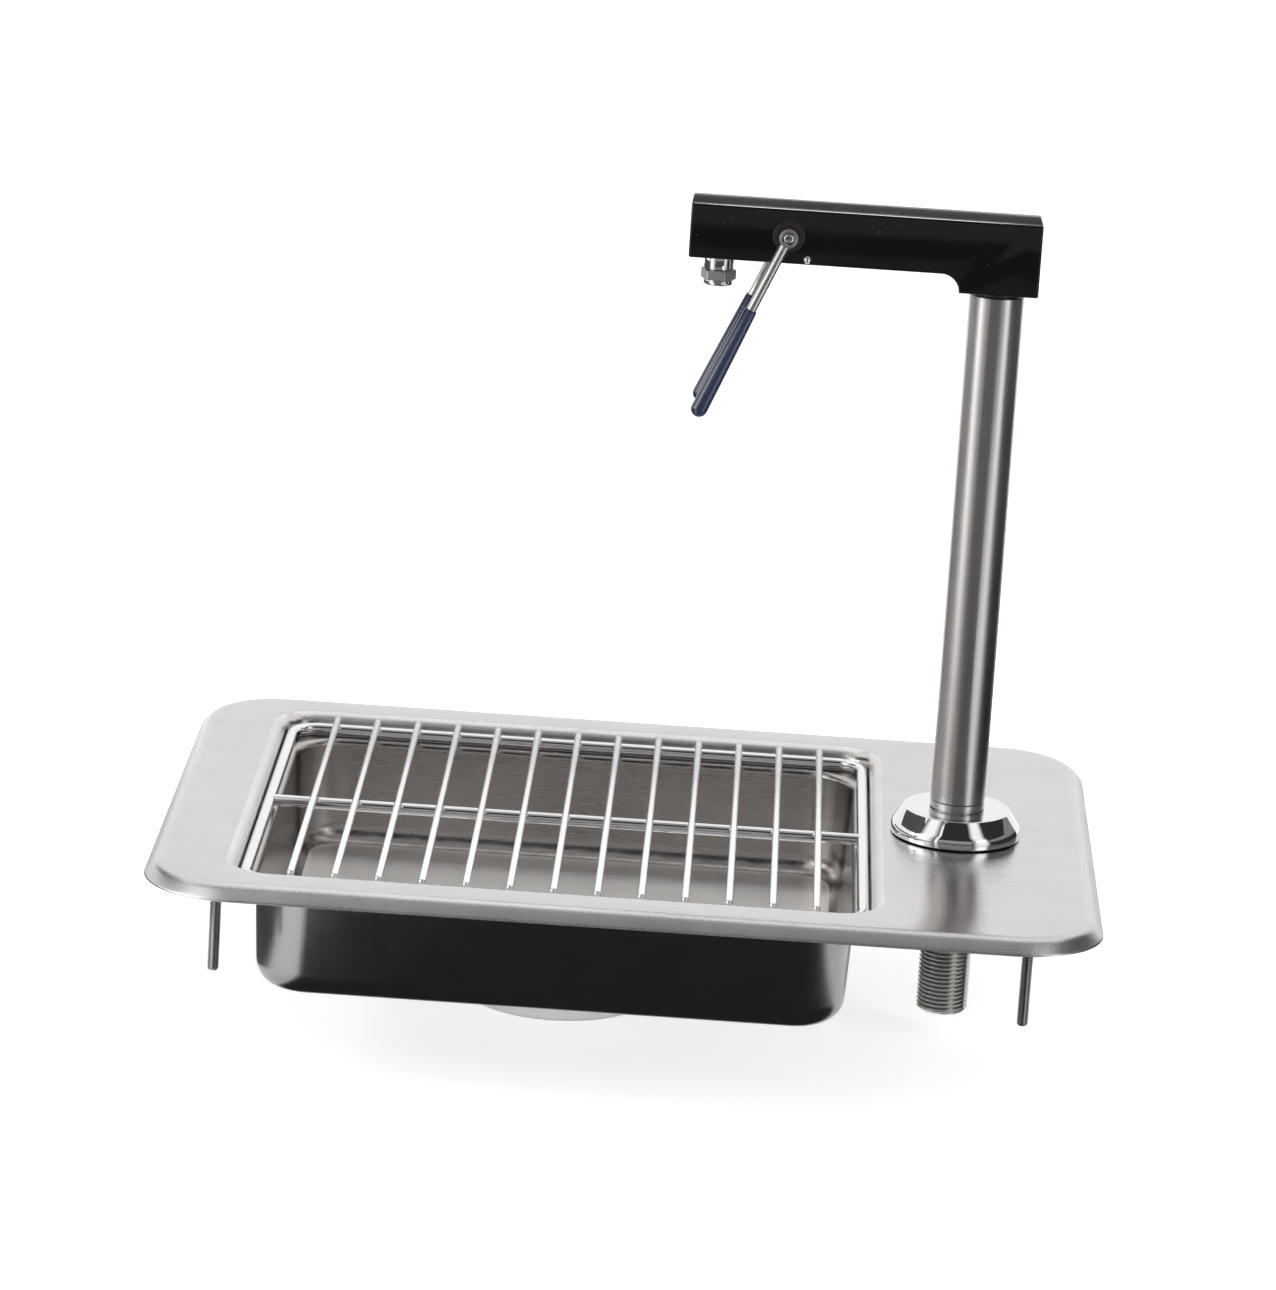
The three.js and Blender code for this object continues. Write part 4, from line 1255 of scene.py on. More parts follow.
@dataclass
class Drain(SubAssembly):
    """The drain cup, its strainer, gasket and ring nut."""

    wall: float = 4.5
    flange_radius: float = 37
    flange: float = 2.6
    barrel_radius: float = 28
    floor: float = 3
    outlet_radius: float = 19
    outlet_bore: float = 15.5
    outlet_length: float = 6.3
    gap: float = 0.3
    hole_radius: float = 3.1
    hole_pitch: float = 10
    hole_rows: int = 2
    groove_count: int = 12
    groove_radius: float = 3.2
    groove_height: float = 11
    groove_skin: float = 2
    groove_sides: int = 16

    def body(self) -> Skin:
        """Shapes the flanged cup with its outlet.

        Returns:
            The cup.
        """
        box = NodeBox.of("drain_body")
        strainer = NodeBox.of("strainer_plate")
        bottom, top = box.low.z + self.outlet_length, box.high.z
        bore = self.barrel_radius - self.wall
        seat, shelf = strainer.half.x + self.gap, strainer.low.z - self.gap
        under = top - self.flange
        return turned([
            (self.outlet_bore, box.low.z, 0.3), (self.outlet_radius, box.low.z, 0.6),
            (self.outlet_radius, bottom, 0.8), (self.barrel_radius, bottom, 1.5),
            (self.barrel_radius, under, 0.4), (self.flange_radius, under, 0.4),
            (self.flange_radius, top, 1), (seat, top, 0.3), (seat, shelf, 0.2),
            (bore, shelf, 0.4), (bore, bottom + self.floor, 1.5),
            (self.outlet_bore, bottom + self.floor / 2, 0.5),
        ], sides=96, steps=4).placed(at(box.centre.x, 0, 0))

    def strainer(self) -> bpy.types.Object:
        """Makes the strainer plate with its pattern of holes, by Geometry Nodes.

        Returns:
            The plate.
        """
        box = NodeBox.of("strainer_plate")
        bench = GeometryBench("strainer_holes")
        radius = bench.input("Radius", float(box.half.x))
        hole = bench.input("Hole radius", float(self.hole_radius))
        pitch = bench.input("Pitch", float(self.hole_pitch))
        rows = bench.input("Rows", self.hole_rows)
        thickness = bench.input("Thickness", float(box.half.z * 2))
        count = rows * 2 + 1
        grid = bench.node("GeometryNodeMeshGrid", {},
                          {"Size X": rows * 2, "Size Y": rows * 2, "Vertices X": count,
                           "Vertices Y": count})
        # A square grid loses two corners and is sheared, which leaves a hexagon of points.
        x, y, _ = bench.position()
        outside = (x + y).magnitude().above(rows + 0.5)
        kept = bench.node("GeometryNodeDeleteGeometry", {"domain": "POINT"},
                          {"Geometry": grid, "Selection": outside})
        place = bench.vector((x + y / 2) * pitch, y * pitch * math.sin(math.pi / 3), 0)
        drill = bench.node("GeometryNodeMeshCylinder", {},
                           {"Vertices": 20, "Radius": hole, "Depth": thickness * 3})
        drills = bench.repeated(bench.reshaped(kept, place), drill)
        tools = bench.node("GeometryNodeRealizeInstances", {}, {0: drills})
        plate = bench.node("GeometryNodeMeshCylinder", {},
                           {"Vertices": 96, "Radius": radius, "Depth": thickness})
        pierced = bench.node("GeometryNodeMeshBoolean",
                             {"operation": Boolean.CUT.value, "solver": "EXACT"},
                             {"Mesh 1": plate, "Mesh 2": tools})
        moved = bench.moved(pierced, box.centre)
        return bench.make("strainer", moved, self.finishes.turned_steel)

    def nut(self) -> Skin:
        """Shapes the ring nut with its grip grooves.

        Returns:
            The nut.
        """
        box = NodeBox.of("drain_locknut")
        low, high, radius = box.low.z, box.high.z, box.half.x
        inner = self.barrel_radius + self.gap
        outline = rounded([(inner, low, 0.5), (radius, low, 3), (radius, high, 0.6),
                           (inner, high, 0.3)], True, 6)
        rings = []
        sides = self.groove_count * self.groove_sides
        for out, height in outline:
            ring = []
            for i in range(sides):
                angle = 2 * math.pi * i / sides
                phase = math.remainder(angle, 2 * math.pi / self.groove_count) * radius
                sunk = math.sqrt(max(0.0, self.groove_radius ** 2 - phase ** 2))
                in_groove = height > high - self.groove_height and out > radius - self.groove_skin
                distance = out - (sunk if in_groove else 0)
                ring.append(Vector((distance * math.cos(angle), distance * math.sin(angle),
                                    height)))
            rings.append(ring)
        return Skin().rings(rings, row_closed=True).placed(at(box.centre.x, 0, 0))

    def make(self) -> None:
        """Builds and hands over the drain's pieces."""
        keep, finishes = self.keep, self.finishes
        keep(self.body().object("drain_cup"), "station", "satin_steel", finishes.turned_steel,
             "drain_body")
        keep(self.strainer(), "station", "satin_steel", None, "strainer_plate")
        keep(self.nut().object("ring_nut"), "station", "pale_plastic", finishes.pale_plastic,
             "drain_locknut")
        box = NodeBox.of("drain_gasket")
        gasket = ring_of(box, self.barrel_radius + self.gap, 0.2, 0.8, 96)
        keep(gasket.placed(at(box.centre.x, 0, 0)).object("gasket_ring"), "station", "rubber",
             finishes.rubber, "drain_gasket")


# Rack

@dataclass
class Rack(SubAssembly):
    """The chrome grid: a bent frame rod, a cross rod, thirteen wires and their weld spots."""

    wires: int = 13
    corner: float = 11
    weld_radius: float = 0.9
    weld_stretch: float = 1.35
    weld_height: float = 0.45

    def wire_tree(self) -> bpy.types.Object:
        """Makes the wires, each a rod with round tips, spaced along the rack.

        Returns:
            All the wires as one piece.
        """
        first, last = NodeBox.of("rack_wire_01"), NodeBox.of(f"rack_wire_{self.wires:02d}")
        bench = GeometryBench("rack_wires")
        radius = bench.input("Wire radius", float(first.half.x))
        half = bench.input("Half length", float(first.half.y))
        count = bench.input("Wires", self.wires)
        start = bench.input("First wire", tuple(first.centre))
        pitch = bench.input("Pitch", float((last.centre.x - first.centre.x) / (self.wires - 1)))
        ball = bench.node("GeometryNodeMeshUVSphere", {},
                          {"Segments": 20, "Rings": 12, "Radius": radius})
        x, y, z = bench.position()
        spread = z.math("SIGN", z) * (half - radius)
        capsule = bench.reshaped(ball, bench.vector(x, z + spread, 0 - y))
        step = bench.vector(pitch, 0, 0)
        line = bench.node("GeometryNodeMeshLine", {"mode": "OFFSET"},
                          {"Count": count, "Start Location": start, "Offset": step})
        return bench.make("rack_wires", bench.repeated(line, capsule), self.finishes.wire)

    def frame_tree(self) -> bpy.types.Object:
        """Makes the frame: a rounded rectangle swept with a round section.

        Returns:
            The frame.
        """
        box = NodeBox.of("rack_frame")
        thick = box.half.z
        bench = GeometryBench("rack_frame_sweep")
        width = bench.input("Width", float(2 * (box.half.x - thick)))
        depth = bench.input("Depth", float(2 * (box.half.y - thick)))
        rod = bench.input("Rod radius", float(thick))
        corner = bench.input("Corner radius", float(self.corner))
        outline = bench.node("GeometryNodeCurvePrimitiveQuadrilateral", {"mode": "RECTANGLE"},
                             {"Width": width, "Height": depth})
        bent = bench.node("GeometryNodeFilletCurve", {"mode": "POLY"},
                          {"Curve": outline, "Count": 10, "Radius": corner})
        moved = bench.moved(bench.swept(bent, rod, 24), box.centre)
        return bench.make("rack_frame_rod", moved, self.finishes.rack)

    def weld_tree(self) -> bpy.types.Object:
        """Makes the weld spots where each wire crosses the frame and the cross rod.

        Returns:
            All the spots as one piece.
        """
        first, last = NodeBox.of("rack_wire_01"), NodeBox.of(f"rack_wire_{self.wires:02d}")
        rod = NodeBox.of("rack_frame")
        reach = rod.half.y - rod.half.z
        bench = GeometryBench("rack_welds")
        count = bench.input("Wires", self.wires)
        radius = bench.input("Weld radius", float(self.weld_radius))
        height = bench.input("Weld height", float(self.weld_height))
        pitch = (last.centre.x - first.centre.x) / (self.wires - 1)
        rows = []
        for y in (-reach, 0.0, reach):
            start = (first.centre.x, y, rod.high.z)
            rows.append(bench.node("GeometryNodeMeshLine", {"mode": "OFFSET"},
                                   {"Count": count, "Start Location": start,
                                    "Offset": (pitch, 0, 0)}))
        points = bench.node("GeometryNodeJoinGeometry", {}, {0: rows})
        spot = bench.node("GeometryNodeMeshUVSphere", {},
                          {"Segments": 14, "Rings": 8, "Radius": radius})
        scale = bench.vector(1.0, self.weld_stretch, height / radius)
        flat = bench.node("GeometryNodeTransform", {}, {"Geometry": spot, "Scale": scale})
        return bench.make("rack_welds", bench.repeated(points, flat), self.finishes.wire)

    def cross_rod(self) -> Skin:
        """Shapes the cross rod, which reaches into the frame's ends.

        Returns:
            The rod.
        """
        box, rod = NodeBox.of("rack_mid_rod"), NodeBox.of("rack_frame")
        radius = box.half.z
        reach = rod.half.x - rod.half.z
        skin = turned([(0, -reach, 0), (radius, -reach, 0.6), (radius, reach, 0.6),
                       (0, reach, 0)], closed=False, sides=24)
        return skin.placed(at(*box.centre) @ along(Axis.X))

    def make(self) -> None:
        """Builds and hands over the rack."""
        names = [f"rack_wire_{i + 1:02d}" for i in range(self.wires)]
        self.keep(self.wire_tree(), "rack", "chrome", None, *names)
        self.keep(self.frame_tree(), "rack", "chrome", None, "rack_frame")
        self.keep(self.cross_rod().object("rack_cross_rod"), "rack", "chrome",
                  self.finishes.rack, "rack_mid_rod")
        self.keep(self.weld_tree(), "rack", "chrome", None)


# Column

@dataclass
class Column(SubAssembly):
    """The rose, the threaded shank with its nut, the tube and the neck."""

    rose_taper: float = 5
    rose_rim: float = 2.6
    rose_wall: float = 2
    rose_lip: float = 0.9
    rose_lip_drop: float = 1.1
    shank_radius: float = 10.65
    shank_bore: float = 5.1
    shank_chamfer: float = 1.4
    shank_pitch: float = 1.814
    shank_depth: float = 1.2
    shank_plain: float = 8
    seat: float = 0.3
    collar: float = 3
    tube_wall: float = 1.6
    spigot_height: float = 8
    neck_radius: float = 8.5
    neck_bore: float = 4
    nut_across: float = 32
    nut_chamfer: float = 1.9

    def rose(self, axis: Matrix) -> Skin:
        """Shapes the conical rose with its rounded rim.

        Args:
            axis: the column's place.

        Returns:
            The rose.
        """
        box = NodeBox.of("escutcheon")
        low, high, radius = box.low.z, box.high.z, box.half.x
        hole = self.shank_radius + self.seat
        top = radius - self.rose_taper
        foot = low - self.rose_lip_drop
        return turned([
            (radius - self.rose_wall, low, 0), (radius - self.rose_lip, low, 0),
            (radius - self.rose_lip, foot, 0.1), (radius, foot, 0.45),
            (radius, low + self.rose_rim, 6),
            (top, high, 0.7), (hole, high, 0.25), (hole, high - self.rose_wall, 0.1),
            (top - self.rose_wall, high - self.rose_wall, 0.5),
            (radius - self.rose_wall, low + self.rose_rim, 0.8),
        ], sides=128, steps=6).placed(axis)

    def collar_ring(self, axis: Matrix) -> Skin:
        """Shapes the collar that the tube stands on, with the spigot inside the tube.

        Args:
            axis: the column's place.

        Returns:
            The collar.
        """
        tube, rose = NodeBox.of("column_tube"), NodeBox.of("escutcheon")
        low, radius = rose.high.z + self.seat, tube.half.x
        inner = radius - self.tube_wall - self.seat
        high = low + self.collar
        end = high + self.spigot_height
        return turned([
            (self.shank_bore, low, 0), (radius, low, 0.35), (radius, high, 0.3),
            (inner, high, 0), (inner, end, 0.5), (self.shank_bore, end, 0),
        ], sides=96).placed(axis)

    def make(self) -> None:
        """Builds and hands over the column's pieces."""
        keep, finishes, seat = self.keep, self.finishes, self.seat
        tube, shank = NodeBox.of("column_tube"), NodeBox.of("threaded_shank")
        axis = at(tube.centre.x, tube.centre.y, 0)
        keep(self.rose(axis).object("rose"), "station", "chrome", finishes.chrome, "escutcheon")
        gasket = NodeBox.of("escutcheon_gasket")
        ring = ring_of(gasket, self.shank_radius + seat, 0, 0.3, 96)
        keep(ring.placed(axis).object("rose_gasket"), "station", "rubber", finishes.rubber,
             "escutcheon_gasket")
        rose_top = NodeBox.of("escutcheon").high.z
        thread = Thread("shank_thread", (tube.centre.x, tube.centre.y), shank.low.z,
                        rose_top + seat, self.shank_radius, self.shank_pitch, self.shank_depth,
                        self.shank_chamfer, self.shank_bore, rose_top - self.shank_plain,
                        around=72, steps_per_turn=8)
        keep(thread.build(finishes.thread), "station", "chrome", None, "threaded_shank")
        keep(self.collar_ring(axis).object("shank_collar"), "station", "chrome", finishes.column)
        pipe = ring_of(tube, tube.half.x - self.tube_wall, 0.2, 0.35, 128)
        keep(pipe.placed(axis).object("column"), "station", "column_steel", finishes.column,
             "column_tube")
        self.make_neck(axis)
        self.make_nut(axis)
        self.dress(finishes.brass, "riser_tube")
        self.dress(finishes.rubber, "riser_seal_lower", "riser_seal_upper")

    def make_neck(self, axis: Matrix) -> None:
        """Builds the dark neck between the tube and the head.

        Args:
            axis: the column's place.
        """
        tube, neck = NodeBox.of("column_tube"), NodeBox.of("head_spigot")
        wide = tube.half.x - self.tube_wall - self.seat
        shoulder = tube.high.z - self.seat
        skin = turned([
            (self.neck_bore, neck.low.z, 0.2), (wide, neck.low.z, 0.4), (wide, shoulder, 0.2),
            (self.neck_radius, shoulder, 0.1), (self.neck_radius, neck.high.z, 0.3),
            (self.neck_bore, neck.high.z, 0.2),
        ], sides=64)
        self.keep(skin.placed(axis).object("neck"), "station", "dark_plastic", self.finishes.neck,
                  "head_spigot")

    def make_nut(self, axis: Matrix) -> None:
        """Builds the shank's washer and brass locknut.

        Args:
            axis: the column's place.
        """
        washer, nut = NodeBox.of("shank_washer"), NodeBox.of("shank_locknut")
        hole = self.shank_radius + self.seat
        ring = ring_of(washer, hole, 0.1, 0.4, 72)
        self.keep(ring.placed(axis).object("washer"), "station", "satin_steel",
                  self.finishes.nut_steel, "shank_washer")
        body = hex_nut("locknut", self.nut_across, hole, nut, self.nut_chamfer, axis)
        self.keep(body, "station", "brass", self.finishes.brass, "shank_locknut")


def hex_nut(name: str, across: float, bore: float, box: NodeBox, chamfer: float, axis: Matrix,
            turn: float = 0, corner: float = 0.5) -> bpy.types.Object:
    """Makes a hexagonal nut with its corners turned down at both faces.

    Args:
        name: the object's name.
        across: the size over the corners before they are rounded.
        bore: the hole's radius.
        box: the box of the solid, which gives the faces' heights.
        chamfer: how far the faces are turned down.
        axis: the nut's place.
        turn: its turn about its axis, in radians.
        corner: the radius of its upright corners.

    Returns:
        The nut.
    """
    low, high, radius = box.low.z, box.high.z, across / 2
    block = prism(polygon(6, across, turn, corner), low, high).placed(axis).object(name)
    shape = turned([(bore, low, 0.2), (radius - chamfer, low, 0.2),
                    (radius, low + chamfer / 2, 0.3), (radius, high - chamfer / 2, 0.3),
                    (radius - chamfer, high, 0.2), (bore, high, 0.2)], sides=72, steps=3)
    return combined(block, Boolean.SHARED, shape.placed(axis))


# Head

@dataclass
class Head(SubAssembly):
    """The gloss black arm with its heel, and the plug in its back end."""

    edge: float = 0.9
    cove: float = 7.4
    heel_left: float = 15.7
    arm_height: float = 22
    waterway: float = 5.4
    plug_depth: float = 6.5
    plug_hollow: float = 1
    plug_hex: float = 5.5
    plug_hex_depth: float = 4
    arc_steps: int = 20
    edge_steps: int = 4
    crease: float = 25
    least_round: float = 0.001

    def outline(self, inset: float) -> list[Point]:
        """Draws the arm's side outline about the column's axis.

        Args:
            inset: how far the outline is drawn in.

        Returns:
            Its points, along X and up.
        """
        box, axis = NodeBox.of("head_body"), NodeBox.of("column_tube").centre.x
        left, right = box.low.x - axis + inset, box.high.x - axis - inset
        bottom, top = box.low.z + inset, box.high.z - inset
        under = box.high.z - self.arm_height
        radius = max(self.edge - inset, self.least_round)
        hollow = self.cove + inset
        centre_x, centre_z = -self.heel_left - self.cove, box.low.z
        corners = [(right, bottom, radius), (right, top, radius), (left, top, radius),
                   (left, under + inset, radius)]
        points = rounded([(0, bottom, 0), *corners, (centre_x, under + inset, 0)], False, 4)
        end = math.asin(min(1.0, inset / hollow))
        for step in range(self.arc_steps + 1):
            angle = math.pi / 2 + (end - math.pi / 2) * step / self.arc_steps
            points.append((centre_x + hollow * math.cos(angle),
                           centre_z + hollow * math.sin(angle)))
        return points

    def build(self) -> bpy.types.Object:
        """Makes the arm with rounded edges and the hole for its plug.

        Returns:
            The arm.
        """
        box, tube = NodeBox.of("head_body"), NodeBox.of("column_tube")
        half = box.half.y
        rings = []
        arc = quarter_arc(self.edge_steps)
        for side, turns in ((-1, arc), (1, arc[::-1])):
            for cosine, sine in turns:
                outline = self.outline(self.edge * (1 - sine))
                y = side * (half - self.edge * (1 - cosine))
                rings.append([Vector((tube.centre.x + x, y, z)) for x, z in outline])
        arm = Skin().rings(rings, capped=True).object("filler_arm", self.crease)
        plug = NodeBox.of("head_plug")
        end = -self.plug_depth - self.plug_hollow
        drill = turned([(0, end, 0), (self.waterway, end, 0), (self.waterway, 2 * PAST, 0),
                        (0, 2 * PAST, 0)], closed=False, sides=64)
        place = at(box.high.x, 0, plug.centre.z) @ along(Axis.X)
        return combined(arm, Boolean.CUT, drill.placed(place))

    def plug(self) -> bpy.types.Object:
        """Makes the plug with its hexagon socket.

        Returns:
            The plug.
        """
        box = NodeBox.of("head_plug")
        depth, radius = box.half.x * 2, box.half.z
        place = at(box.low.x, 0, box.centre.z) @ along(Axis.X)
        body = turned([(0, 0, 0), (radius, 0, 0.3), (radius, depth, 0.4), (0, depth, 0)],
                      closed=False)
        socket = prism(polygon(6, self.plug_hex), depth - self.plug_hex_depth, depth + PAST)
        return combined(body.placed(place).object("end_plug"), Boolean.CUT, socket.placed(place))

    def make(self) -> None:
        """Builds and hands over the arm and its plug."""
        self.keep(self.build(), "station", "gloss_black", self.finishes.black, "head_body")
        self.keep(self.plug(), "station", "satin_steel", self.finishes.nut_steel, "head_plug")


# Valve

@dataclass
class Valve(SubAssembly):
    """The valve inside the arm: its solids stay, but for the spring, which is built anew."""

    spring_wire: float = 0.5
    spring_turns: int = 6
    spring_squeeze: float = 3.35

    def coil(self) -> bpy.types.Object:
        """Makes the spring, coiled between the disc and the cage.

        Returns:
            The spring.
        """
        box = NodeBox.of("valve_spring")
        bench = GeometryBench("valve_coil")
        wire = bench.input("Wire radius", float(self.spring_wire))
        turns = bench.input("Turns", float(self.spring_turns))
        radius = bench.input("Coil radius", float(box.half.z - self.spring_wire))
        length = bench.input("Length", float(2 * (box.half.x - self.spring_wire)))
        path = bench.node("GeometryNodeCurveSpiral", {},
                          {"Resolution": 24, "Rotations": turns, "Start Radius": radius,
                           "End Radius": radius, "Height": length})
        start = (box.low.x + self.spring_wire, box.centre.y, box.centre.z)
        laid = bench.node("GeometryNodeTransform", {},
                          {"Geometry": bench.swept(path, wire, 10),
                           "Rotation": (0.0, math.pi / 2, 0.0), "Translation": start})
        return bench.make("valve_coil", laid, self.finishes.rod)

    def make(self) -> None:
        """Dresses the valve's solids and hands over the spring."""
        self.dress(self.finishes.brass, "valve_seat", "valve_poppet", "spring_cage")
        self.dress(self.finishes.rubber, "poppet_seal")
        box = NodeBox.of("valve_spring")
        coil = self.keep(self.coil(), "station", "satin_steel", None, "valve_spring")
        cage = Vector((box.high.x, box.centre.y, box.centre.z)) * MM
        1 - self.spring_squeeze / (2 * box.half.x)
        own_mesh(coil)


# Lever

class Side(Enum):
    """The front or back of the arm, by the sign of Y."""

    FRONT = -1
    BACK = 1

    @property
    def word(self) -> str:
        """Returns the side's name in lower case."""
        return self.name.lower()


@dataclass
class Lever(SubAssembly):
    """The cross shaft, its bushings, and the two prongs with their grips and screws."""

    tilt: float = 23.5
    hub_length: float = 4.3
    hub_radius: float = 3.75
    rim: float = 1.2
    recess: float = 2.4
    edge: float = 0.35
    prong_radius: float = 2
    prong_length: float = 78
    prong_root: float = 2.2
    grip_start: float = 32.7
    grip_top: float = 2.55
    grip_tip: float = 3.4
    grip_end: float = 81.5
    grip_slack: float = 0.12
    grip_gap: float = 0.3
    swell_at: Sequence[float] = (0.12, 0.3, 0.5, 0.75)
    swell_power: float = 0.8
    dome_steps: int = 8
    screw_head: float = 2.1
    screw_round: float = 0.8
    screw_gap: float = 0.3
    screw_socket: float = 2.2
    screw_socket_depth: float = 1.1
    inner: float = 12.5
    stem: float = 1.35
    bushing_bore: float = 2.65
    bushing_rim: float = 0.75
    bushing_slope: float = 0.2
    bushing_sunk: float = 0.12
    pin_radius: float = 1.75
    pin_proud: float = 1.9
    pin_foot: float = 1

    @property
    def middle(self) -> float:
        """Returns the distance of a prong's axis from the arm's middle."""
        return self.inner + self.hub_length / 2

    @property
    def hub(self) -> Vector:
        """Returns the middle of the cross shaft."""
        box = NodeBox.of("bushing_front")
        return Vector((box.centre.x, 0, box.centre.z))

    @property
    def swung(self) -> Matrix:
        """Returns the lever's place at rest: at the hub and tilted."""
        return at(*self.hub) @ Matrix.Rotation(math.radians(self.tilt), 4, "Y")

    def eye(self, side: Side) -> bpy.types.Object:
        """Makes a prong: its cup-shaped eye and its rod.

        Args:
            side: the prong's side of the arm.

        Returns:
            The prong.
        """
        outer = self.inner + self.hub_length
        cup = self.hub_radius - self.rim
        floor = outer - self.recess
        eye = turned([
            (0, self.inner, 0), (self.hub_radius, self.inner, 0.3),
            (self.hub_radius, outer, self.edge), (cup, outer, 0.25), (cup, floor, 0.3),
            (0, floor, 0),
        ], closed=False, sides=64).placed(along(Axis.Y, side.value))
        rod = turned([(0, -self.prong_length, 0), (self.prong_radius, -self.prong_length, 0.3),
                      (self.prong_radius, -self.prong_root, 0), (0, -self.prong_root, 0)],
                     closed=False, sides=40).placed(at(0, side.value * self.middle, 0))
        piece = eye.placed(self.swung).object(f"prong_rod_{side.word}")
        return combined(piece, Boolean.JOIN, rod.placed(self.swung))

    def grip(self, side: Side) -> Skin:
        """Shapes the vinyl sleeve, which swells towards its round tip.

        Args:
            side: the sleeve's side of the arm.

        Returns:
            The sleeve.
        """
        bore, end = self.prong_radius + self.grip_slack, -self.prong_length - self.grip_gap
        outline: list[Corner] = [(0, end, 0), (bore, end, 0), (bore, -self.grip_start, 0.15),
                                 (self.grip_top, -self.grip_start, 0.3)]
        shoulder = self.grip_end - self.grip_tip
        for share in self.swell_at:
            swell = (self.grip_tip - self.grip_top) * share ** self.swell_power
            outline.append((self.grip_top + swell,
                            -self.grip_start - (shoulder - self.grip_start) * share, 0))
        for cosine, sine in quarter_arc(self.dome_steps):
            outline.append((self.grip_tip * cosine, -shoulder - self.grip_tip * sine, 0))
        skin = turned(outline, closed=False, sides=40)
        return skin.placed(self.swung @ at(0, side.value * self.middle, 0))

    def screw(self, side: Side) -> bpy.types.Object:
        """Makes the screw in the eye's cup, with its hexagon socket.

        Args:
            side: the screw's side of the arm.

        Returns:
            The screw.
        """
        box = NodeBox.of(f"hub_screw_{side.word}")
        low, top = sorted((abs(box.low.y), abs(box.high.y)))
        seat = self.inner + self.hub_length - self.recess + self.screw_gap
        place = self.swung @ along(Axis.Y, side.value)
        body = turned([(0, low, 0), (self.stem, low, 0.2), (self.stem, seat, 0.1),
                       (self.screw_head, seat, 0.1), (self.screw_head, top, self.screw_round),
                       (0, top, 0)], closed=False, sides=48)
        socket = prism(polygon(6, self.screw_socket), top - self.screw_socket_depth, top + PAST)
        piece = body.placed(place).object(f"eye_screw_{side.word}")
        return combined(piece, Boolean.CUT, socket.placed(place))

    def bushing(self, side: Side) -> Skin:
        """Shapes the dark bushing with its fine raised rim.

        Args:
            side: the bushing's side of the arm.

        Returns:
            The bushing.
        """
        box = NodeBox.of(f"bushing_{side.word}")
        low, outer = sorted((abs(box.low.y), abs(box.high.y)))
        radius, sunk = box.half.x, outer - self.bushing_sunk
        rim = radius - self.bushing_rim
        skin = turned([(self.bushing_bore, low, 0.1), (radius, low, 0.2), (radius, outer, 0.3),
                       (rim, outer, 0.15), (rim - self.bushing_slope, sunk, 0.1),
                       (self.bushing_bore, sunk, 0.1)], sides=72)
        return skin.placed(at(*self.hub) @ along(Axis.Y, side.value))

    def make(self) -> None:
        """Builds and hands over the lever and its bearings."""
        keep, finishes = self.keep, self.finishes
        self.dress(finishes.rod, "lever_shaft")
        self.dress(finishes.rubber, "shaft_seal_front", "shaft_seal_back")
        for side in Side:
            word = side.word
            keep(self.eye(side), "lever", "satin_steel", finishes.rod, f"prong_{word}")
            keep(self.grip(side).object(f"grip_sleeve_{word}"), "lever", "navy_vinyl",
                 finishes.vinyl, f"grip_{word}")
            keep(self.screw(side), "lever", "chrome", finishes.chrome, f"hub_screw_{word}")
            keep(self.bushing(side).object(f"shaft_bushing_{word}"), "station", "dark_plastic",
                 finishes.bushing, f"bushing_{word}")
        self.make_pin()

    def make_pin(self) -> None:
        """Builds the stop pin with its domed end."""
        box = NodeBox.of("stop_pin")
        radius, stem, face = self.pin_radius, self.stem, NodeBox.of("head_body").half.y
        outline: list[Corner] = [(0, -box.high.y, 0), (stem, -box.high.y, 0.1),
                                 (stem, face - self.pin_foot, 0),
                                 (radius, face - self.pin_foot, 0)]
        for cosine, sine in quarter_arc(self.dome_steps):
            outline.append((radius * cosine, face + self.pin_proud * sine, 0))
        pin = turned(outline, closed=False, sides=40)
        place = at(box.centre.x, 0, box.centre.z) @ along(Axis.Y, -1)
        self.keep(pin.placed(place).object("dome_pin"), "station", "chrome", self.finishes.chrome,
                  "stop_pin")


# Nozzle

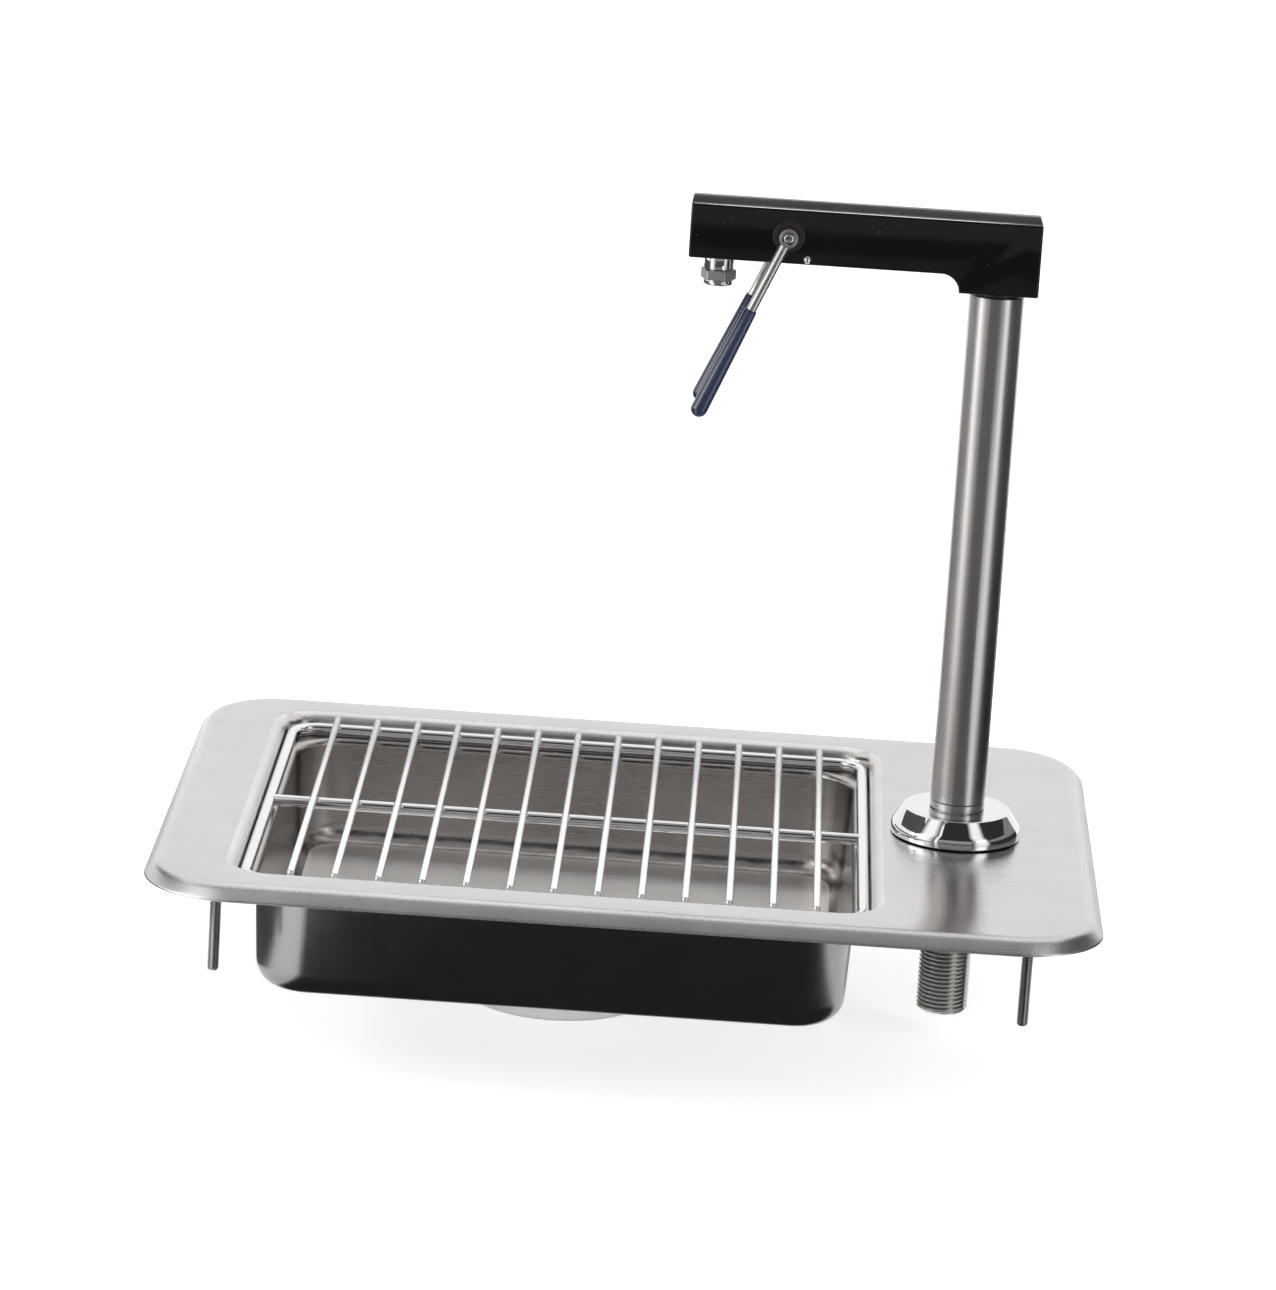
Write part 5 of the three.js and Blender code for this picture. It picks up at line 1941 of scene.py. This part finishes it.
@dataclass
class Nozzle(SubAssembly):
    """The chrome barrel, hex nut and outlet ring under the arm's free end."""

    spigot: float = 5.1
    bore: float = 3.3
    tail: float = 5
    nut_across: float = 14.6
    nut_chamfer: float = 0.6
    nut_turn: float = -9
    nut_corner: float = 0.8
    tip_round: float = 1.4
    tip_bore: float = 4.4
    tip_ledge: float = 0.8
    seat: float = 0.3

    def make(self) -> None:
        """Builds and hands over the nozzle's pieces."""
        keep, finishes = self.keep, self.finishes
        tube, nut, tip = (NodeBox.of(name) for name in ("nozzle_tube", "nozzle_nut", "nozzle_tip"))
        axis = at(tube.centre.x, 0, 0)
        under = NodeBox.of("head_body").high.z - Head(self.finishes).arm_height - self.seat
        end = nut.high.z + self.seat
        barrel = turned([
            (self.bore, tube.low.z, 0.1), (self.tail, tube.low.z, 0.1), (self.tail, end, 0.1),
            (tube.half.x, end, 0.3), (tube.half.x, under, 0.2), (self.spigot, under, 0),
            (self.spigot, tube.high.z, 0.2), (self.bore, tube.high.z, 0.1),
        ], sides=72)
        keep(barrel.placed(axis).object("nozzle_barrel"), "station", "chrome", finishes.chrome,
             "nozzle_tube")
        hole = self.tail + self.seat
        body = hex_nut("nozzle_hex", self.nut_across, hole, nut, self.nut_chamfer, axis,
                       math.radians(self.nut_turn), self.nut_corner)
        keep(body, "station", "satin_steel", finishes.nut_steel, "nozzle_nut")
        ledge = tip.low.z + self.tip_ledge
        ring = turned([
            (self.tip_bore, tip.low.z, 0.3), (tip.half.x, tip.low.z, self.tip_round),
            (tip.half.x, tip.high.z, 0.25), (hole, tip.high.z, 0.1), (hole, ledge, 0.1),
            (self.tip_bore, ledge, 0.1),
        ], sides=72)
        keep(ring.placed(axis).object("outlet_ring"), "station", "chrome", finishes.chrome,
             "nozzle_tip")
        self.dress(finishes.nut_steel, "stream_screen")
        self.dress(finishes.rubber, "nozzle_o_ring")


# Studio

def level_sheet(low: Point, high: Point, level: float) -> list[tuple[float, float, float]]:
    """Returns the corners of a level rectangle, anticlockwise from above."""
    places = (low, (high[0], low[1]), high, (low[0], high[1]))
    return [(x, y, level) for x, y in places]


@dataclass
class Card:
    """A plain card beside the object that shows only in its reflections, fading at its sides."""

    name: str
    corners: Sequence[tuple[float, float, float]]
    brightness: float
    fade: float = 0.0

    @classmethod
    def standing(cls, name: str, start: Point, end: Point, low: float, high: float,
                 brightness: float, fade: float = 0.0) -> "Card":
        """Returns an upright card between two places on the floor."""
        corners = [(*start, low), (*end, low), (*end, high), (*start, high)]
        return cls(name, corners, brightness, fade)

    @classmethod
    def lying(cls, name: str, low: Point, high: Point, level: float, brightness: float) -> "Card":
        """Lays a level card.

        Args:
            name: its name.
            low: the corner with the least X and Y.
            high: the corner with the most.
            level: its height.
            brightness: how bright it is.

        Returns:
            The card.
        """
        return cls(name, level_sheet(low, high, level), brightness)

    def make(self) -> None:
        """Makes the card, which neither lights nor shades the scene."""
        bench = MaterialBench(self.name)
        strength: Any = self.brightness
        if self.fade:
            across, _, _ = bench.split(bench.node("ShaderNodeTexCoord", {}, {}, "UV"))
            edge = ((0.5 - (across - 0.5).magnitude()) / self.fade).clamped()
            strength = edge * self.brightness
        material = bench.finish(bench.node("ShaderNodeEmission", {}, {"Strength": strength}))
        mesh = bpy.data.meshes.new(self.name)
        mesh.from_pydata(self.corners, [], [(0, 1, 2, 3)])
        across_layer = mesh.uv_layers.new(name="across")
        for corner, place in zip(across_layer.data, ((0, 0), (1, 0), (1, 1), (0, 1))):
            corner.uv = place
        mesh.materials.append(material)
        card = new_object(self.name, mesh)
        card.visible_camera = card.visible_diffuse = card.visible_shadow = False
        card.visible_transmission = card.visible_volume_scatter = False


@dataclass
class Studio:
    """The floor, lamps, world, cards and camera."""

    focal_pixels: float = 5797
    image_pixels: float = 1290
    sensor: float = 36
    yaw: float = -0.0182
    pitch: float = 0.2637
    roll: float = 0.0630
    place: tuple[float, float, float] = (0.039, -2.279, 0.692)
    clip: Point = (0.05, 50)
    floor_gap: float = 0.0005
    floor_half: float = 14
    floor_grey: float = 0.80
    floor_glow: float = 0.62
    sky_light: float = 0.62
    card_gap: float = 0.002
    aim: tuple[float, float, float] = (0, 0, 0.05)

    def camera(self) -> None:
        """Places the camera where the photograph was taken from."""
        data = bpy.data.cameras.new("photo_camera")
        data.sensor_width = self.sensor
        data.lens = self.focal_pixels * self.sensor / self.image_pixels
        data.clip_start, data.clip_end = self.clip
        camera = bpy.data.objects.new("photo_camera", data)
        bpy.context.scene.collection.objects.link(camera)
        cos_yaw, sin_yaw = math.cos(self.yaw), math.sin(self.yaw)
        cos_pitch, sin_pitch = math.cos(self.pitch), math.sin(self.pitch)
        forward = Vector((sin_yaw * cos_pitch, cos_yaw * cos_pitch, -sin_pitch))
        level = Vector((cos_yaw, -sin_yaw, 0))
        upward = level.cross(forward)
        right = level * math.cos(self.roll) + upward * math.sin(self.roll)
        upward = upward * math.cos(self.roll) - level * math.sin(self.roll)
        turn = Matrix((right, upward, -forward)).transposed().to_4x4()
        camera.matrix_world = Matrix.Translation(self.place) @ turn
        bpy.context.scene.camera = camera

    def seen_rays(self, bench: Bench) -> Signal:
        """Tells the rays that show the backdrop: from the camera, a gloss or through glass.

        Args:
            bench: the node tree.

        Returns:
            1 for those rays, else 0.
        """
        kinds = ("Is Camera Ray", "Is Glossy Ray", "Is Transmission Ray")
        camera, gloss, through = (bench.node("ShaderNodeLightPath", {}, {}, kind) for kind in kinds)
        return (camera + gloss + through).clamped()

    def floor(self) -> None:
        """Lays a pale floor just under the object."""
        bench = MaterialBench("studio_floor")
        glow = self.seen_rays(bench) * self.floor_glow
        grey = self.floor_grey
        paint = bench.node("ShaderNodeBsdfDiffuse", {}, {"Color": (grey, grey, grey, 1)})
        light = bench.node("ShaderNodeEmission", {}, {"Color": (1, 1, 1, 1), "Strength": glow})
        surface = bench.node("ShaderNodeAddShader", {}, {0: paint, 1: light})
        low = CAD_BOX[0].z - self.floor_gap
        mesh = bpy.data.meshes.new("floor")
        corner = (self.floor_half, self.floor_half)
        sheet = level_sheet((-corner[0], -corner[1]), corner, low)
        mesh.from_pydata(sheet, [], [(0, 1, 2, 3)])
        mesh.materials.append(bench.finish(surface))
        new_object("floor", mesh)

    def world(self) -> None:
        """Lights the scene from all round, with a white background."""
        world = bpy.data.worlds.new("studio")
        world.use_nodes = True
        bpy.context.scene.world = world
        bench = Bench(world.node_tree)
        bench.tree.nodes.clear()
        strength = self.sky_light + self.seen_rays(bench) * (1 - self.sky_light)
        sky = bench.node("ShaderNodeBackground", {}, {"Color": (1, 1, 1, 1), "Strength": strength})
        output = bench.tree.nodes.new("ShaderNodeOutputWorld")
        bench.tree.links.new(sky.socket, output.inputs["Surface"])

    def lamp(self, name: str, place: Sequence[float], size: Point, watts: float,
             shows: bool = True) -> None:
        """Adds a soft lamp that faces the object.

        Args:
            name: its name.
            place: where it hangs.
            size: its width and height.
            watts: its power.
            shows: whether it shows in reflections.
        """
        data = bpy.data.lights.new(name, "AREA")
        data.shape, data.size, data.size_y, data.energy = "RECTANGLE", size[0], size[1], watts
        lamp = bpy.data.objects.new(name, data)
        bpy.context.scene.collection.objects.link(lamp)
        lamp.location = place
        towards = Vector(self.aim) - Vector(place)
        lamp.rotation_euler = towards.to_track_quat("-Z", "Y").to_euler()
        lamp.visible_glossy = shows

    def cards(self) -> list[Card]:
        """Plans the bright boxes and strips, and the dark cards between and behind them.

        Returns:
            The cards.
        """
        low = CAD_BOX[0].z
        flat = low + self.card_gap
        front, left, right = (((-0.50, -1.05), (0.80, -1.05)), ((-0.85, -0.25), (-0.85, 1.00)),
                              ((0.80, -0.35), (0.80, 0.65)))
        near_floor = ((-0.16, -0.42), (-0.15, -0.07), (0.17, -0.07), (0.32, -0.42))
        front_floor = ((-0.19, -0.42), (0.32, -0.42), (0.70, -1.3), (-0.85, -1.3))
        left_floor = ((-1.6, -0.17), (-0.27, -0.17), (-0.06, 0.24), (-0.81, 1.3))
        return [
            Card.standing("left_box", (-0.60, -0.18), (-0.25, -0.52), low, 0.95, 1.1, 0.3),
            Card.standing("right_box", (0.47, -0.59), (0.74, -0.30), low, 0.95, 1.05, 0.3),
            Card.standing("left_strip", (-0.58, -0.16), (-0.37, -0.36), 0.19, 0.33, 5, 0.2),
            Card.standing("right_strip", (0.50, -0.54), (0.70, -0.32), 0.19, 0.33, 2.6, 0.3),
            Card.standing("line_box", (-0.03, 0.45), (0.19, 0.45), 0.50, 0.78, 17),
            Card.lying("line_shield", (-0.25, 0.10), (0.40, 0.60), 0.32, 1.0),
            Card.standing("front_flag", *front, 0.55, 1.75, 0.03),
            Card.standing("front_low_flag", *front, 0.1, 0.55, 0.3),
            Card.standing("front_foot_flag", *front, low, 0.1, 0.07),
            Card.standing("left_flag", *left, 0.42, 0.95, 0.08),
            Card.standing("left_foot_flag", *left, low, 0.1, 0.08),
            Card.standing("right_flag", *right, 0.34, 0.95, 0.03),
            Card.standing("right_mid_flag", *right, 0.14, 0.34, 0.22),
            Card.standing("right_foot_flag", *right, low, 0.14, 0.03),
            Card.standing("back_flag", (-0.10, 0.15), (0.28, 0.15), 0.268, 0.335, 0.14),
            Card("near_floor_flag", [(x, y, flat) for x, y in near_floor], 0.04),
            Card("front_floor_flag", [(x, y, flat) for x, y in front_floor], 0.2),
            Card("left_floor_flag", [(x, y, flat) for x, y in left_floor], 0.14),
            Card.lying("right_floor_flag", (0.25, -0.17), (1.5, 0.80), flat + 0.001, 0.02),
            Card.lying("ceiling_card", (-1.0, -1.05), (1.2, 0.10), 1.75, 0.34),
        ]

    def make(self) -> None:
        """Builds the studio."""
        bpy.context.scene.view_settings.view_transform = "Standard"
        self.camera()
        self.floor()
        self.world()
        self.lamp("overhead", (0.05, 0.55, 1.75), (1.7, 0.8), 15, False)
        self.lamp("left_lamp", (-1.7, -0.5, 0.9), (0.9, 1.3), 9)
        self.lamp("right_lamp", (1.7, -0.7, 0.9), (0.6, 1.3), 7)
        self.lamp("low_front_lamp", (0.0, -1.5, 0.25), (0.9, 0.3), 9, False)
        for card in self.cards():
            card.make()


def main() -> None:
    """Builds every sub-assembly in order, then the studio."""
    logging.basicConfig(level=logging.INFO, format="%(message)s")
    finishes = Finishes.mixed()
    makers: list[Callable[[Finishes], SubAssembly]] = [
        Pan, Studs, Drain, Rack, Column, Head, Valve, Lever, Nozzle,
    ]
    for maker in makers:
        log.info("%s", maker.__name__)
        maker(finishes).make()
    Studio().make()


if __name__ == "__main__":
    main()
